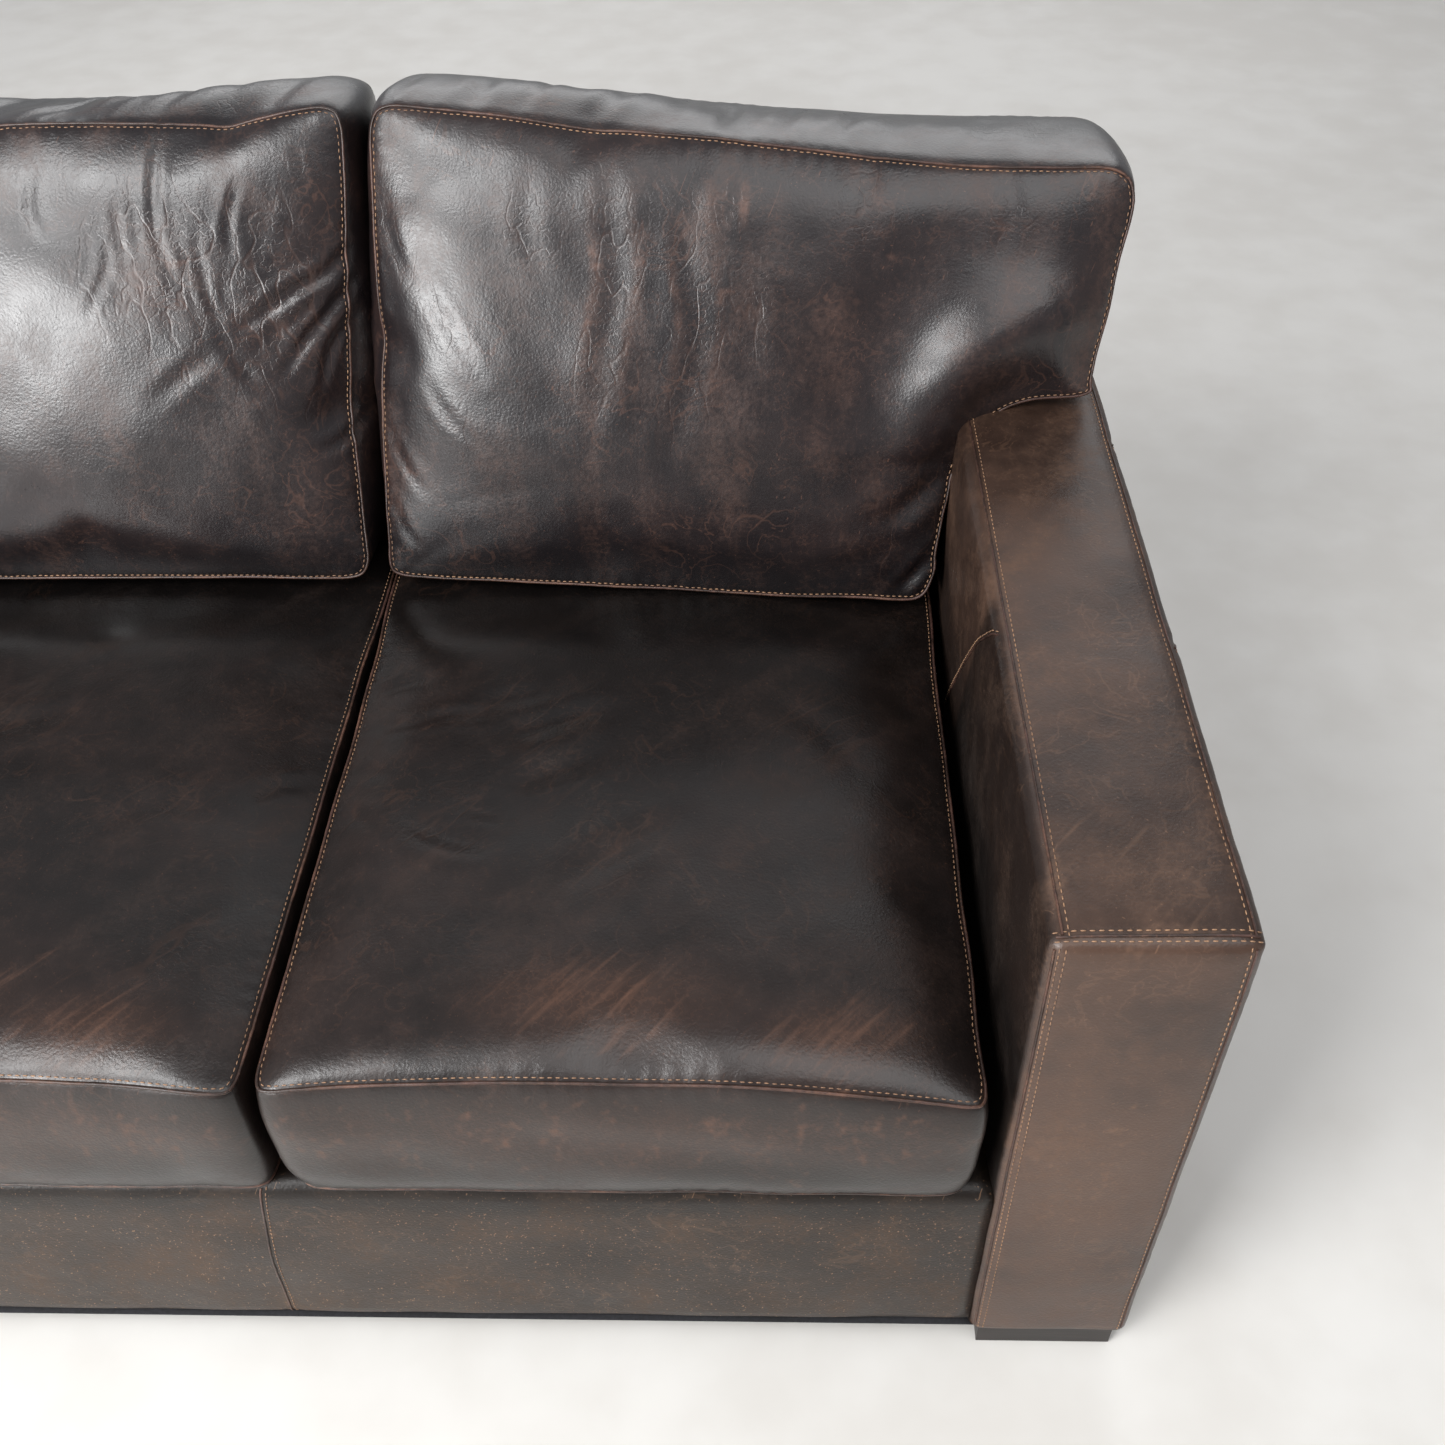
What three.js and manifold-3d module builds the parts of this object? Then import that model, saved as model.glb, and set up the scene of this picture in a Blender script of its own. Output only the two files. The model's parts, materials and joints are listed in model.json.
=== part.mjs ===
// Three-seat leather sofa with track arms, loose seat cushions and T-shaped loose back cushions.
// Millimetres, +Z up. The origin is on the floor under the middle of the sofa, and the front faces -Y.

import * as THREE from "three";
import { mergeVertices } from "three/addons/utils/BufferGeometryUtils.js";
import Module from "manifold-3d";

const wasm = await Module();
wasm.setup();

// Overall sizes
const sofaWidth = 2134;
const sofaDepth = 1040;
const armHeight = 640;
const armWidth = 152;
const backTopWidth = 152;
const backRakeDegrees = 16;
const undersideHeight = 45;
const deckHeight = 288;
const baseRecess = 6;
const seatNames = ["left", "centre", "right"];

// Clearances
const contactGap = 0.3;
const cushionGap = 2;
const legHoleGap = 1;
const frameClearance = 1;
const passageMargin = 5;
const toolReach = 20;

// Covers and padding
const leatherThickness = 2.5;
const armFoam = 12;
const backFoam = 20;
const baseFoam = 10;
const edgeRollDepth = 25;
const deckPadThickness = 9;
const coverCorner = 10;
const foamCorner = 14;
const backTopBend = 20;
const smallestBend = 0.5;
const hemReturn = 30;
const deckFlap = 78;
const dustClothThickness = 1.3;
const dustClothInset = 6;

// Timber
const railThickness = 32;
const panelThickness = 22;
const seatRearRailHeight = 74;
const baseRearRailHeight = 100;
const sideRailHeight = 164;
const stretcherHeight = 90;
const stretcherDrop = 24;
const bottomStretcherWidth = 90;
const tackRailHeight = 50;
const tackRailRise = 34;
const ribHoleWidth = 60;
const ribHoleHeight = 180;
const cornerBlockLeg = 85;
const cornerBlockHeight = 40;
const cornerBlockDrop = 14;
const cornerBlockTip = 10;
const rearRailSetback = 8;

// Springs and webbing
const springWire = 4;
const springBarLength = 50;
const springPitch = 45;
const springCrown = 6;
const springsPerSeat = 3;
const springEndMargin = 38;
const springBendEase = 0.35;
const clipSteel = 1.5;
const clipWidth = 20;
const clipLip = 12;
const clipUpperLip = 8.4;
const clipBend = 2.5;
const clipBite = 0.2;
const clipInset = 7;
const webbingThickness = 2;
const webbingWidth = 50;
const uprightStrapsPerSeat = 3;
const crossStraps = 3;
const webbingTopDrop = 16;

// Feet
const legWidth = 130;
const legSetback = 7;
const legEdge = 3;
const legBoltRadius = 5;
const legBoltInWood = 30;
const legBoltReach = 26;

// Cushions
const seatCushionThickness = 148;
const seatCrown = 20;
const seatCrownPower = 4;
const seatEdgeInset = 16;
const backCushionTop = 915;
const backCushionThickness = 190;
const backCornerLength = 44;
const backHeelSetback = 31;

// Smoothness of the curves
const extrusionSegments = 4;
const coverSegments = 3;
const cushionSegments = 5;
const clipSegments = 2;
const wireSegments = 3;
const wireStepsPerSpan = 2;
const boltSides = 12;
const seatSegments = { across: 8, deep: 8, high: 4 };

// Derived places
const innerHalf = sofaWidth / 2 - armWidth;
const seatWidth = (2 * innerHalf) / seatNames.length;
const armCentre = sofaWidth / 2 - armWidth / 2;
const frontY = -sofaDepth / 2;
const rearY = sofaDepth / 2;
const frameRearY = rearY - leatherThickness - contactGap;
const frameBottom = undersideHeight + leatherThickness + contactGap;
const armLayers = leatherThickness + armFoam + 2 * contactGap;
const frameHalf = innerHalf + armLayers - contactGap;
const backLayers = leatherThickness + backFoam + webbingThickness + 3 * contactGap;
const backTopLayers = leatherThickness + backFoam + 2 * contactGap;
const frameTop = armHeight - backTopLayers;
const deckPadTop = deckHeight - leatherThickness - contactGap;
const deckPadBottom = deckPadTop - deckPadThickness;
const wireTop = deckPadBottom - contactGap;
const wireEndHeight = wireTop - springCrown - springWire / 2;
const railTop = wireEndHeight - springWire / 2 + clipBite - clipSteel - contactGap;
const coverHemHeight = railTop + frameClearance;
const backHemHeight = deckPadBottom;
const baseFrontY = frontY + baseRecess;
const frontRailY = baseFrontY + leatherThickness + baseFoam + 2 * contactGap;
const edgeRollRearY = baseFrontY + leatherThickness + contactGap + edgeRollDepth;
const seatRearRailY = backFaceY(0, coverHemHeight) + rearRailSetback;
const backRake = THREE.MathUtils.degToRad(backRakeDegrees);

// Finishes: colours of the worn leather, the timber and the metal
function finish(color, roughness, metalness = 0) {
  return new THREE.MeshStandardMaterial({ color, roughness, metalness });
}

const finishes = {
  seatLeather: finish("#2f2725", 0.42),
  backLeather: finish("#38302f", 0.38),
  armLeather: finish("#5d483d", 0.5),
  baseLeather: finish("#54473f", 0.5),
  ebonisedWood: finish("#1c1614", 0.45),
  framePoplar: finish("#b8996d", 0.75),
  springSteel: finish("#5c5f61", 0.4, 0.9),
  juteWebbing: finish("#8b7350", 0.9),
  foam: finish("#e4dcc4", 0.95),
  deckCloth: finish("#3a2f2a", 0.9),
  dustCloth: finish("#18181a", 0.95),
};

// The inside back leans. This is the depth of its plane at a height, a distance under the leather.
function backFaceY(distanceUnder, height) {
  const rake = THREE.MathUtils.degToRad(backRakeDegrees);
  const topY = sofaDepth / 2 - backTopWidth;
  return topY + (height - armHeight) * Math.tan(rake) + distanceUnder / Math.cos(rake);
}

// Solids and booleans
function solid(geometry) {
  const bare = geometry.index ? geometry.toNonIndexed() : geometry.clone();
  bare.deleteAttribute("normal");
  bare.deleteAttribute("uv");
  const merged = mergeVertices(bare, 1e-3);
  return new wasm.Manifold(
    new wasm.Mesh({
      numProp: 3,
      vertProperties: new Float32Array(merged.attributes.position.array),
      triVerts: new Uint32Array(merged.index.array),
    }),
  );
}

function geometryOf(manifold) {
  const mesh = manifold.getMesh();
  const geometry = new THREE.BufferGeometry();
  geometry.setAttribute("position", new THREE.BufferAttribute(mesh.vertProperties, 3));
  geometry.setIndex(new THREE.BufferAttribute(mesh.triVerts, 1));
  geometry.computeVertexNormals();
  return geometry;
}

function cut(geometry, ...tools) {
  return geometryOf(tools.reduce((whole, tool) => whole.subtract(solid(tool)), solid(geometry)));
}

function join(...geometries) {
  return geometryOf(geometries.map(solid).reduce((whole, next) => whole.add(next)));
}

function common(first, second) {
  return geometryOf(solid(first).intersect(solid(second)));
}

// Boards and extrusions. A profile is drawn in the plane across the way it is extruded.
function board(x, y, z) {
  const geometry = new THREE.BoxGeometry(x[1] - x[0], y[1] - y[0], z[1] - z[0]);
  return geometry.translate((x[0] + x[1]) / 2, (y[0] + y[1]) / 2, (z[0] + z[1]) / 2);
}

function extrude(shape, length, curveSegments) {
  return new THREE.ExtrudeGeometry(shape, { depth: length, bevelEnabled: false, curveSegments });
}

const axisX = new THREE.Vector3(1, 0, 0);
const axisY = new THREE.Vector3(0, 1, 0);
const axisZ = new THREE.Vector3(0, 0, 1);

// Shape in Y and Z, extruded along X
function alongX(shape, x, curveSegments = extrusionSegments) {
  const turn = new THREE.Matrix4().makeBasis(axisY, axisZ, axisX);
  return extrude(shape, x[1] - x[0], curveSegments).applyMatrix4(turn).translate(x[0], 0, 0);
}

// Shape in X and Z, extruded along Y
function alongY(shape, y, curveSegments = extrusionSegments) {
  const turn = new THREE.Matrix4().makeBasis(axisX, axisZ, axisY.clone().negate());
  return extrude(shape, y[1] - y[0], curveSegments).applyMatrix4(turn).translate(0, y[1], 0);
}

// Shape in X and Y, extruded along Z
function alongZ(shape, z, curveSegments = extrusionSegments) {
  return extrude(shape, z[1] - z[0], curveSegments).translate(0, 0, z[0]);
}

function polygon(...points) {
  return new THREE.Shape(points.map(([a, b]) => new THREE.Vector2(a, b)));
}

// A path through corner points, each corner turned with a curve that starts and ends a length away.
// A corner marked sharp keeps its point, and the curve beside it may then take more of the side they share.
const shareBesideSharp = 0.9;
const shareBesideRound = 0.45;

function traceRounded(path, corners, length, closed) {
  const count = corners.length;
  const points = corners.map(([a, b]) => new THREE.Vector2(a, b));
  points.forEach((corner, i) => {
    const turns = closed || (i > 0 && i < count - 1);
    if (!turns || corners[i][2] === "sharp") {
      if (i === 0 && path.curves.length === 0) path.moveTo(corner.x, corner.y);
      else path.lineTo(corner.x, corner.y);
      return;
    }
    const toward = (k) => {
      const share = corners[k][2] === "sharp" ? shareBesideSharp : shareBesideRound;
      return corner.clone().lerp(points[k], Math.min(share, length / corner.distanceTo(points[k])));
    };
    const start = toward((i + count - 1) % count);
    const end = toward((i + 1) % count);
    if (i === 0) path.moveTo(start.x, start.y);
    else path.lineTo(start.x, start.y);
    path.quadraticCurveTo(corner.x, corner.y, end.x, end.y);
  });
  if (closed) path.closePath();
}

function roundedPolygon(corners, length) {
  const shape = new THREE.Shape();
  traceRounded(shape, corners, length, true);
  return shape;
}

// The path moved sideways to its right, with mitred corners
function offsetPath(corners, distance) {
  const points = corners.map(([a, b]) => new THREE.Vector2(a, b));
  const side = (from, to) => {
    const way = to.clone().sub(from).normalize();
    return new THREE.Vector2(way.y, -way.x);
  };
  return points.map((point, i) => {
    const into = i > 0 ? side(points[i - 1], point) : side(point, points[i + 1]);
    const out = i < points.length - 1 ? side(point, points[i + 1]) : into;
    const mitre = into.clone().add(out).normalize();
    const moved = point.clone().addScaledVector(mitre, distance / mitre.dot(into));
    return [moved.x, moved.y];
  });
}

// The outline between a bent outer path and the inner path that leads back
function sheetBetween(outer, inner, thickness, bend) {
  const shape = new THREE.Shape();
  traceRounded(shape, outer, bend, false);
  traceRounded(shape, inner, Math.max(bend - thickness, smallestBend), false);
  shape.closePath();
  return shape;
}

// A sheet of even thickness bent along corner points, seen on edge
function bentSheet(corners, thickness, bend) {
  return sheetBetween(corners, offsetPath(corners, thickness).reverse(), thickness, bend);
}

// Scene graph
const sofa = new THREE.Group();

function group(parent, x = 0) {
  const made = new THREE.Group();
  made.position.x = x;
  parent.add(made);
  return made;
}

function add(parent, name, geometry, material, position = [0, 0, 0]) {
  const mesh = new THREE.Mesh(geometry, material);
  mesh.name = name;
  mesh.position.set(...position);
  parent.add(mesh);
  return mesh;
}

const spread = (half) => [-half, half];
const sides = [
  { label: "left", side: -1 },
  { label: "right", side: 1 },
];

// Seat frame: rails, side rails, stretchers and corner blocks
function buildSeatFrame(parent) {
  const wood = finishes.framePoplar;
  const frontRail = [frontRailY, frontRailY + railThickness];
  const rearRail = [seatRearRailY, seatRearRailY + railThickness];
  const between = [frontRail[1] + contactGap, rearRail[0] - contactGap];
  add(parent, "seat_front_rail", board(spread(frameHalf), frontRail, [frameBottom, railTop]), wood);
  const rearRailBottom = railTop - seatRearRailHeight;
  add(parent, "seat_rear_rail", board(spread(frameHalf), rearRail, [rearRailBottom, railTop]), wood);
  const baseRear = baseRearRail();
  add(parent, "base_rear_rail", board(baseRear.x, baseRear.y, baseRear.z), wood);
  const bottomY = [between[0], baseRear.y[0] - contactGap];
  const bottomZ = [frameBottom, frameBottom + railThickness];
  const bottomStretcher = cut(board(spread(bottomStretcherWidth / 2), bottomY, bottomZ), boltHole());
  add(parent, "bottom_stretcher", bottomStretcher, wood);
  const blockTop = railTop - cornerBlockDrop;
  for (const { label, side } of sides) {
    const sideRail = board(spread(railThickness / 2), between, [railTop - sideRailHeight, railTop]);
    add(parent, `seat_side_rail_${label}`, sideRail, wood, [side * (frameHalf - railThickness / 2), 0, 0]);
    const stretcherTop = railTop - stretcherDrop;
    const stretcher = board(spread(railThickness / 2), between, [stretcherTop - stretcherHeight, stretcherTop]);
    add(parent, `seat_stretcher_${label}`, stretcher, wood, [(side * seatWidth) / 2, 0, 0]);
    const cornerX = side * (frameHalf - railThickness - contactGap);
    const corners = { front: [between[0], 1], rear: [between[1], -1] };
    for (const [place, [cornerY, inward]] of Object.entries(corners)) {
      const outline = polygon(
        [0, 0],
        [-side * cornerBlockLeg, 0],
        [-side * cornerBlockLeg, inward * cornerBlockTip],
        [-side * cornerBlockTip, inward * cornerBlockLeg],
        [0, inward * cornerBlockLeg],
      );
      const block = alongZ(outline, [blockTop - cornerBlockHeight, blockTop]);
      add(parent, `corner_block_${place}_${label}`, block, wood, [cornerX, cornerY, 0]);
    }
  }
}

function baseRearRail() {
  return {
    x: spread(frameHalf),
    y: [frameRearY - railThickness, frameRearY],
    z: [frameBottom, frameBottom + baseRearRailHeight],
  };
}

// Back frame: four raked ribs that carry a tack rail and a bevelled top rail
function buildBackFrame(parent) {
  const wood = finishes.framePoplar;
  const face = (height, depth = 0) => backFaceY(backLayers, height) + depth;
  const topRailBottom = frameTop - railThickness;
  const topRail = polygon(
    [face(topRailBottom), topRailBottom],
    [frameRearY, topRailBottom],
    [frameRearY, frameTop],
    [face(frameTop), frameTop],
  );
  add(parent, "back_top_rail", alongX(topRail, spread(frameHalf)), wood);
  const tackBottom = railTop + tackRailRise;
  const tackTop = tackBottom + tackRailHeight;
  const tackOutline = (gap) =>
    polygon(
      [face(tackBottom - gap, -gap * 2), tackBottom - gap],
      [face(tackBottom - gap, panelThickness + gap), tackBottom - gap],
      [face(tackTop + gap, panelThickness + gap), tackTop + gap],
      [face(tackTop + gap, -gap * 2), tackTop + gap],
    );
  add(parent, "back_tack_rail", alongX(tackOutline(0), spread(frameHalf)), wood);

  const stepY = seatRearRailY + railThickness + contactGap;
  const ribTop = topRailBottom - contactGap;
  const outline = polygon(
    [stepY, frameBottom],
    [frameRearY, frameBottom],
    [frameRearY, ribTop],
    [face(ribTop), ribTop],
    [face(railTop + contactGap), railTop + contactGap],
    [stepY, railTop + contactGap],
  );
  const holeMiddle = [(stepY + frameRearY) / 2, (tackTop + ribTop) / 2];
  outline.holes.push(slotHole(holeMiddle[0] + ribHoleWidth / 2, holeMiddle[1], ribHoleWidth, ribHoleHeight));
  const rear = baseRearRail();
  const rearNotch = board(
    rear.x,
    [rear.y[0] - contactGap, rearY],
    [rear.z[0] - frameClearance, rear.z[1] + contactGap],
  );
  const notch = alongX(tackOutline(contactGap), spread(frameHalf));
  const rib = cut(alongX(outline, spread(panelThickness / 2)), notch, rearNotch);
  const ends = frameHalf - panelThickness / 2;
  const places = { left_end: -ends, left: -seatWidth / 2, right: seatWidth / 2, right_end: ends };
  for (const [place, x] of Object.entries(places)) {
    add(parent, `back_rib_${place}`, rib.clone(), wood, [x, 0, 0]);
  }
}

// A lightening hole with round ends
function slotHole(y, z, width, height) {
  const radius = width / 2;
  const straight = height / 2 - radius;
  const hole = new THREE.Path();
  hole.absarc(y, z + straight, radius, 0, Math.PI, false);
  hole.absarc(y, z - straight, radius, Math.PI, 2 * Math.PI, false);
  hole.closePath();
  return hole;
}

// Interlaced webbing over the ribs, sewn where the straps cross
function buildWebbing(parent) {
  const bottom = railTop + tackRailRise;
  const slant = (frameTop - webbingTopDrop - bottom) / Math.cos(backRake);
  const uprights = seatNames.length * uprightStrapsPerSeat;
  const straps = [];
  for (let i = 0; i < uprights; i += 1) {
    const x = (i + 0.5 - uprights / 2) * (seatWidth / uprightStrapsPerSeat);
    straps.push(board([x - webbingWidth / 2, x + webbingWidth / 2], [-webbingThickness, 0], [0, slant]));
  }
  for (let i = 0; i < crossStraps; i += 1) {
    const z = (slant * (i + 1)) / (crossStraps + 1);
    const across = innerHalf - contactGap;
    straps.push(board(spread(across), [-webbingThickness, 0], [z - webbingWidth / 2, z + webbingWidth / 2]));
  }
  const depth = leatherThickness + backFoam + webbingThickness + 2 * contactGap;
  const webbing = add(parent, "back_webbing", join(...straps), finishes.juteWebbing);
  webbing.position.set(0, backFaceY(depth, bottom), bottom);
  webbing.rotation.x = -backRake;
}

// Zigzag seat springs. A spring is one wire in flat loops, hooked in a clip at the front and at the rear.
class ZigzagWire extends THREE.CatmullRomCurve3 {
  // Even steps between the bends keep each bar straight.
  getUtoTmapping(u) {
    return u;
  }
}

function springPath(length) {
  const bars = Math.max(3, Math.round(length / springPitch) + 1);
  const pitch = length / (bars - 1);
  const points = [];
  for (let i = 0; i < bars; i += 1) {
    const y = i * pitch;
    const z = springCrown * Math.sin((Math.PI * i) / (bars - 1));
    const hand = i % 2 === 0 ? 1 : -1;
    points.push(new THREE.Vector3((-hand * springBarLength) / 2, y, z));
    points.push(new THREE.Vector3((hand * springBarLength) / 2, y, z));
  }
  return new ZigzagWire(points, false, "catmullrom", springBendEase);
}

function springGeometry(length) {
  const path = springPath(length);
  const section = new THREE.Shape().absarc(0, 0, springWire / 2, 0, 2 * Math.PI, false);
  const wire = new THREE.ExtrudeGeometry(section, {
    steps: (path.points.length - 1) * wireStepsPerSpan,
    curveSegments: wireSegments,
    extrudePath: path,
    bevelEnabled: false,
  });
  return join(wire, clip(1), clip(-1).translate(0, length, 0));
}

// A bent strip that holds the end bar. Its mouth looks along the spring.
function clip(way) {
  const low = -springWire / 2 + clipBite - clipSteel;
  const high = springWire / 2 - clipBite + clipSteel;
  const heel = -way * clipInset;
  const corners = [
    [way * clipLip, low],
    [heel, low],
    [heel, high],
    [way * clipUpperLip, high],
  ];
  const bent = bentSheet(way > 0 ? corners : corners.reverse(), clipSteel, clipBend);
  return alongX(bent, spread(clipWidth / 2), clipSegments);
}

function buildSprings(parent) {
  const startY = edgeRollRearY + contactGap + clipInset;
  const endY = seatRearRailY + railThickness - clipLip - clipInset;
  const geometry = springGeometry(endY - startY);
  const spacing = (seatWidth - springEndMargin) / springsPerSeat;
  seatNames.forEach((name, seat) => {
    const centre = (seat - (seatNames.length - 1) / 2) * seatWidth;
    for (let i = 0; i < springsPerSeat; i += 1) {
      const x = centre + (i - (springsPerSeat - 1) / 2) * spacing;
      const spring = add(parent, `seat_spring_${name}_${i + 1}`, geometry.clone(), finishes.springSteel);
      spring.position.set(x, startY, wireEndHeight);
    }
  });
}

// Arms. The same block, taken in by the layers over it, makes the cover, the padding and the core.
function armBlock(inset, rearEnd, bottom) {
  const half = armWidth / 2 - inset;
  const bend = Math.max(coverCorner - inset, smallestBend);
  const top = armHeight - inset;
  const front = frontY + inset;
  const section = new THREE.Shape();
  traceRounded(section, [[-half, bottom], [-half, top], [half, top], [half, bottom]], bend, false);
  section.closePath();
  const plan = new THREE.Shape();
  traceRounded(plan, [[-half, rearEnd], [-half, front], [half, front], [half, rearEnd]], bend, false);
  plan.closePath();
  return common(alongY(section, [front, rearEnd], coverSegments), alongZ(plan, [bottom, top], coverSegments));
}

// The inner wall stops at the deck and at the inside back, where the frame passes through it.
function armPassage(side) {
  const face = (height) => backFaceY(backLayers - contactGap, height);
  const top = frameTop + frameClearance;
  const below = undersideHeight - toolReach;
  const front = frontRailY - frameClearance;
  const rear = rearY + toolReach;
  const passage = polygon(
    [front, below],
    [rear, below],
    [rear, top],
    [face(top), top],
    [face(coverHemHeight), coverHemHeight],
    [front, coverHemHeight],
  );
  const inner = -side * (armWidth / 2);
  const near = inner - side * passageMargin;
  const far = inner + side * (armLayers + passageMargin);
  return alongX(passage, [Math.min(near, far), Math.max(near, far)]);
}

function armShell(side, inset, thickness, bottom) {
  const outer = armBlock(inset, frameRearY, bottom);
  const hollow = armBlock(inset + thickness, frameRearY + toolReach, bottom - toolReach);
  return cut(outer, hollow, armPassage(side));
}

function buildArm(parent, { label, side }) {
  const arm = group(parent, side * armCentre);
  const wood = finishes.framePoplar;
  const half = armWidth / 2 - armLayers;
  const front = frontY + armLayers;
  const top = armHeight - armLayers;
  add(arm, `arm_cover_${label}`, armShell(side, 0, leatherThickness, undersideHeight), finishes.armLeather);
  const foamInset = leatherThickness + contactGap;
  add(arm, `arm_padding_${label}`, armShell(side, foamInset, armFoam, frameBottom), finishes.foam);
  const postTop = top - panelThickness - contactGap;
  const postBottom = frameBottom + railThickness + contactGap;
  const frontPost = board(spread(half), [front, front + panelThickness], [postBottom, postTop]);
  add(arm, `arm_front_post_${label}`, frontPost, wood);
  const rearPost = board(spread(half), [frameRearY - panelThickness, frameRearY], [postBottom, postTop]);
  add(arm, `arm_rear_post_${label}`, rearPost, wood);
  const topBoard = board(spread(half), [front, frameRearY], [top - panelThickness, top]);
  add(arm, `arm_top_board_${label}`, topBoard, wood);
  const bottomZ = [frameBottom, frameBottom + railThickness];
  const drills = [legCentreY(1), legCentreY(-1)].map((y) => boltHole().translate(0, y, 0));
  const bottomBoard = cut(board(spread(half), [front, frameRearY], bottomZ), ...drills);
  add(arm, `arm_bottom_board_${label}`, bottomBoard, wood);
}

// Feet: square blocks with a hanger bolt up into the frame
function legCentreY(end) {
  return end > 0 ? frontY + legSetback + legWidth / 2 : rearY - legSetback - legWidth / 2;
}

function uprightCylinder(radius, z) {
  const turned = new THREE.CylinderGeometry(radius, radius, z[1] - z[0], boltSides).rotateX(Math.PI / 2);
  return turned.translate(0, 0, (z[0] + z[1]) / 2);
}

function boltHole() {
  return uprightCylinder(legBoltRadius + contactGap, [0, frameBottom + railThickness + toolReach]);
}

function legGeometry() {
  const top = frameBottom - contactGap;
  const square = polygon(
    [-legWidth / 2 + legEdge, -legWidth / 2 + legEdge],
    [legWidth / 2 - legEdge, -legWidth / 2 + legEdge],
    [legWidth / 2 - legEdge, legWidth / 2 - legEdge],
    [-legWidth / 2 + legEdge, legWidth / 2 - legEdge],
  );
  const block = new THREE.ExtrudeGeometry(square, {
    depth: top - 2 * legEdge,
    bevelEnabled: true,
    bevelThickness: legEdge,
    bevelSize: legEdge,
    bevelSegments: 2,
  }).translate(0, 0, legEdge);
  return join(block, uprightCylinder(legBoltRadius, [top - legBoltInWood, top + legBoltReach]));
}

function buildLegs(parent) {
  const geometry = legGeometry();
  for (const { label, side } of sides) {
    const x = side * armCentre;
    add(parent, `leg_front_${label}`, geometry.clone(), finishes.ebonisedWood, [x, legCentreY(1), 0]);
    add(parent, `leg_rear_${label}`, geometry.clone(), finishes.ebonisedWood, [x, legCentreY(-1), 0]);
  }
  add(parent, "leg_centre", geometry.clone(), finishes.ebonisedWood);
}

// Base front: foam roll over the rail, and a leather cover with a hem below and a flap on the deck
function buildBaseFront(parent) {
  const across = spread(innerHalf - contactGap);
  const foamY = baseFrontY + leatherThickness + contactGap;
  const foamBack = foamY + baseFoam;
  const foamTop = deckPadTop;
  const roll = [
    [foamBack, frameBottom, "sharp"],
    [foamY, frameBottom],
    [foamY, foamTop],
    [edgeRollRearY, foamTop, "sharp"],
    [edgeRollRearY, railTop + contactGap, "sharp"],
    [foamBack, railTop + contactGap, "sharp"],
  ];
  const foam = roundedPolygon(roll, foamCorner);
  add(parent, "base_front_padding", alongX(foam, across), finishes.foam);
  const path = [
    [baseFrontY + deckFlap, deckHeight],
    [baseFrontY, deckHeight],
    [baseFrontY, undersideHeight],
    [baseFrontY + hemReturn, undersideHeight],
  ];
  const cover = bentSheet(path.reverse(), leatherThickness, coverCorner);
  add(parent, "base_front_cover", alongX(cover, across), finishes.baseLeather);
}

// Deck: felt pad over the springs, and platform cloth behind the leather flap
function buildDeck(parent) {
  const across = spread(innerHalf - contactGap);
  const padFront = edgeRollRearY + contactGap;
  const padRear = backFaceY(0, deckPadBottom) - contactGap;
  add(parent, "deck_pad", board(across, [padFront, padRear], [deckPadBottom, deckPadTop]), finishes.foam);
  const clothFront = baseFrontY + deckFlap + contactGap;
  const clothRear = backFaceY(0, deckPadTop) - contactGap;
  const clothZ = [deckPadTop + contactGap, deckHeight];
  add(parent, "deck_cloth", board(across, [clothFront, clothRear], clothZ), finishes.deckCloth);
}

// Back covers: foam and leather bent over the top rail, and a flat panel behind
function backLayer(inset, thickness) {
  const edge = (distance) => [
    [backFaceY(distance, backHemHeight), backHemHeight],
    [backFaceY(distance, armHeight - distance), armHeight - distance],
    [frameRearY, armHeight - distance],
  ];
  return sheetBetween(edge(inset), edge(inset + thickness).reverse(), thickness, backTopBend);
}

function buildBackCovers(parent) {
  const across = spread(innerHalf - contactGap);
  const foamInset = leatherThickness + contactGap;
  add(parent, "back_padding", alongX(backLayer(foamInset, backFoam), across), finishes.foam);
  add(parent, "back_cover", alongX(backLayer(0, leatherThickness), across), finishes.backLeather);
  const half = sofaWidth / 2;
  const panel = new THREE.Shape();
  const outline = [
    [-half, undersideHeight],
    [-half, armHeight],
    [half, armHeight],
    [half, undersideHeight],
  ];
  traceRounded(panel, outline, coverCorner, false);
  panel.closePath();
  const panelY = [rearY - leatherThickness, rearY];
  add(parent, "outside_back_panel", alongY(panel, panelY), finishes.backLeather);
}

// Dust cloth under the frame, cut round the feet
function buildDustCloth(parent) {
  const x = spread(sofaWidth / 2 - dustClothInset);
  const y = [baseFrontY + dustClothInset, rearY - dustClothInset];
  const top = undersideHeight - contactGap;
  const sheet = board(x, y, [top - dustClothThickness, top]);
  const half = legWidth / 2 + legHoleGap;
  const holeZ = [0, undersideHeight + toolReach];
  const holes = [[0, 0]];
  for (const { side } of sides) {
    holes.push([side * armCentre, legCentreY(1)], [side * armCentre, legCentreY(-1)]);
  }
  const tools = holes.map(([cx, cy]) => board(spread(half), spread(half), holeZ).translate(cx, cy, 0));
  add(parent, "dust_cloth", cut(sheet, ...tools), finishes.dustCloth);
}

// Seat cushions: box cushions with a low crown and rounded borders
const seatBottom = deckHeight + contactGap;
const seatY = [frontY + cushionGap, backFaceY(0, seatBottom) - cushionGap];

function seatCrownAt(u, v) {
  return seatCrown * (1 - Math.abs(u) ** seatCrownPower) * (1 - Math.abs(v) ** seatCrownPower);
}

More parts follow.
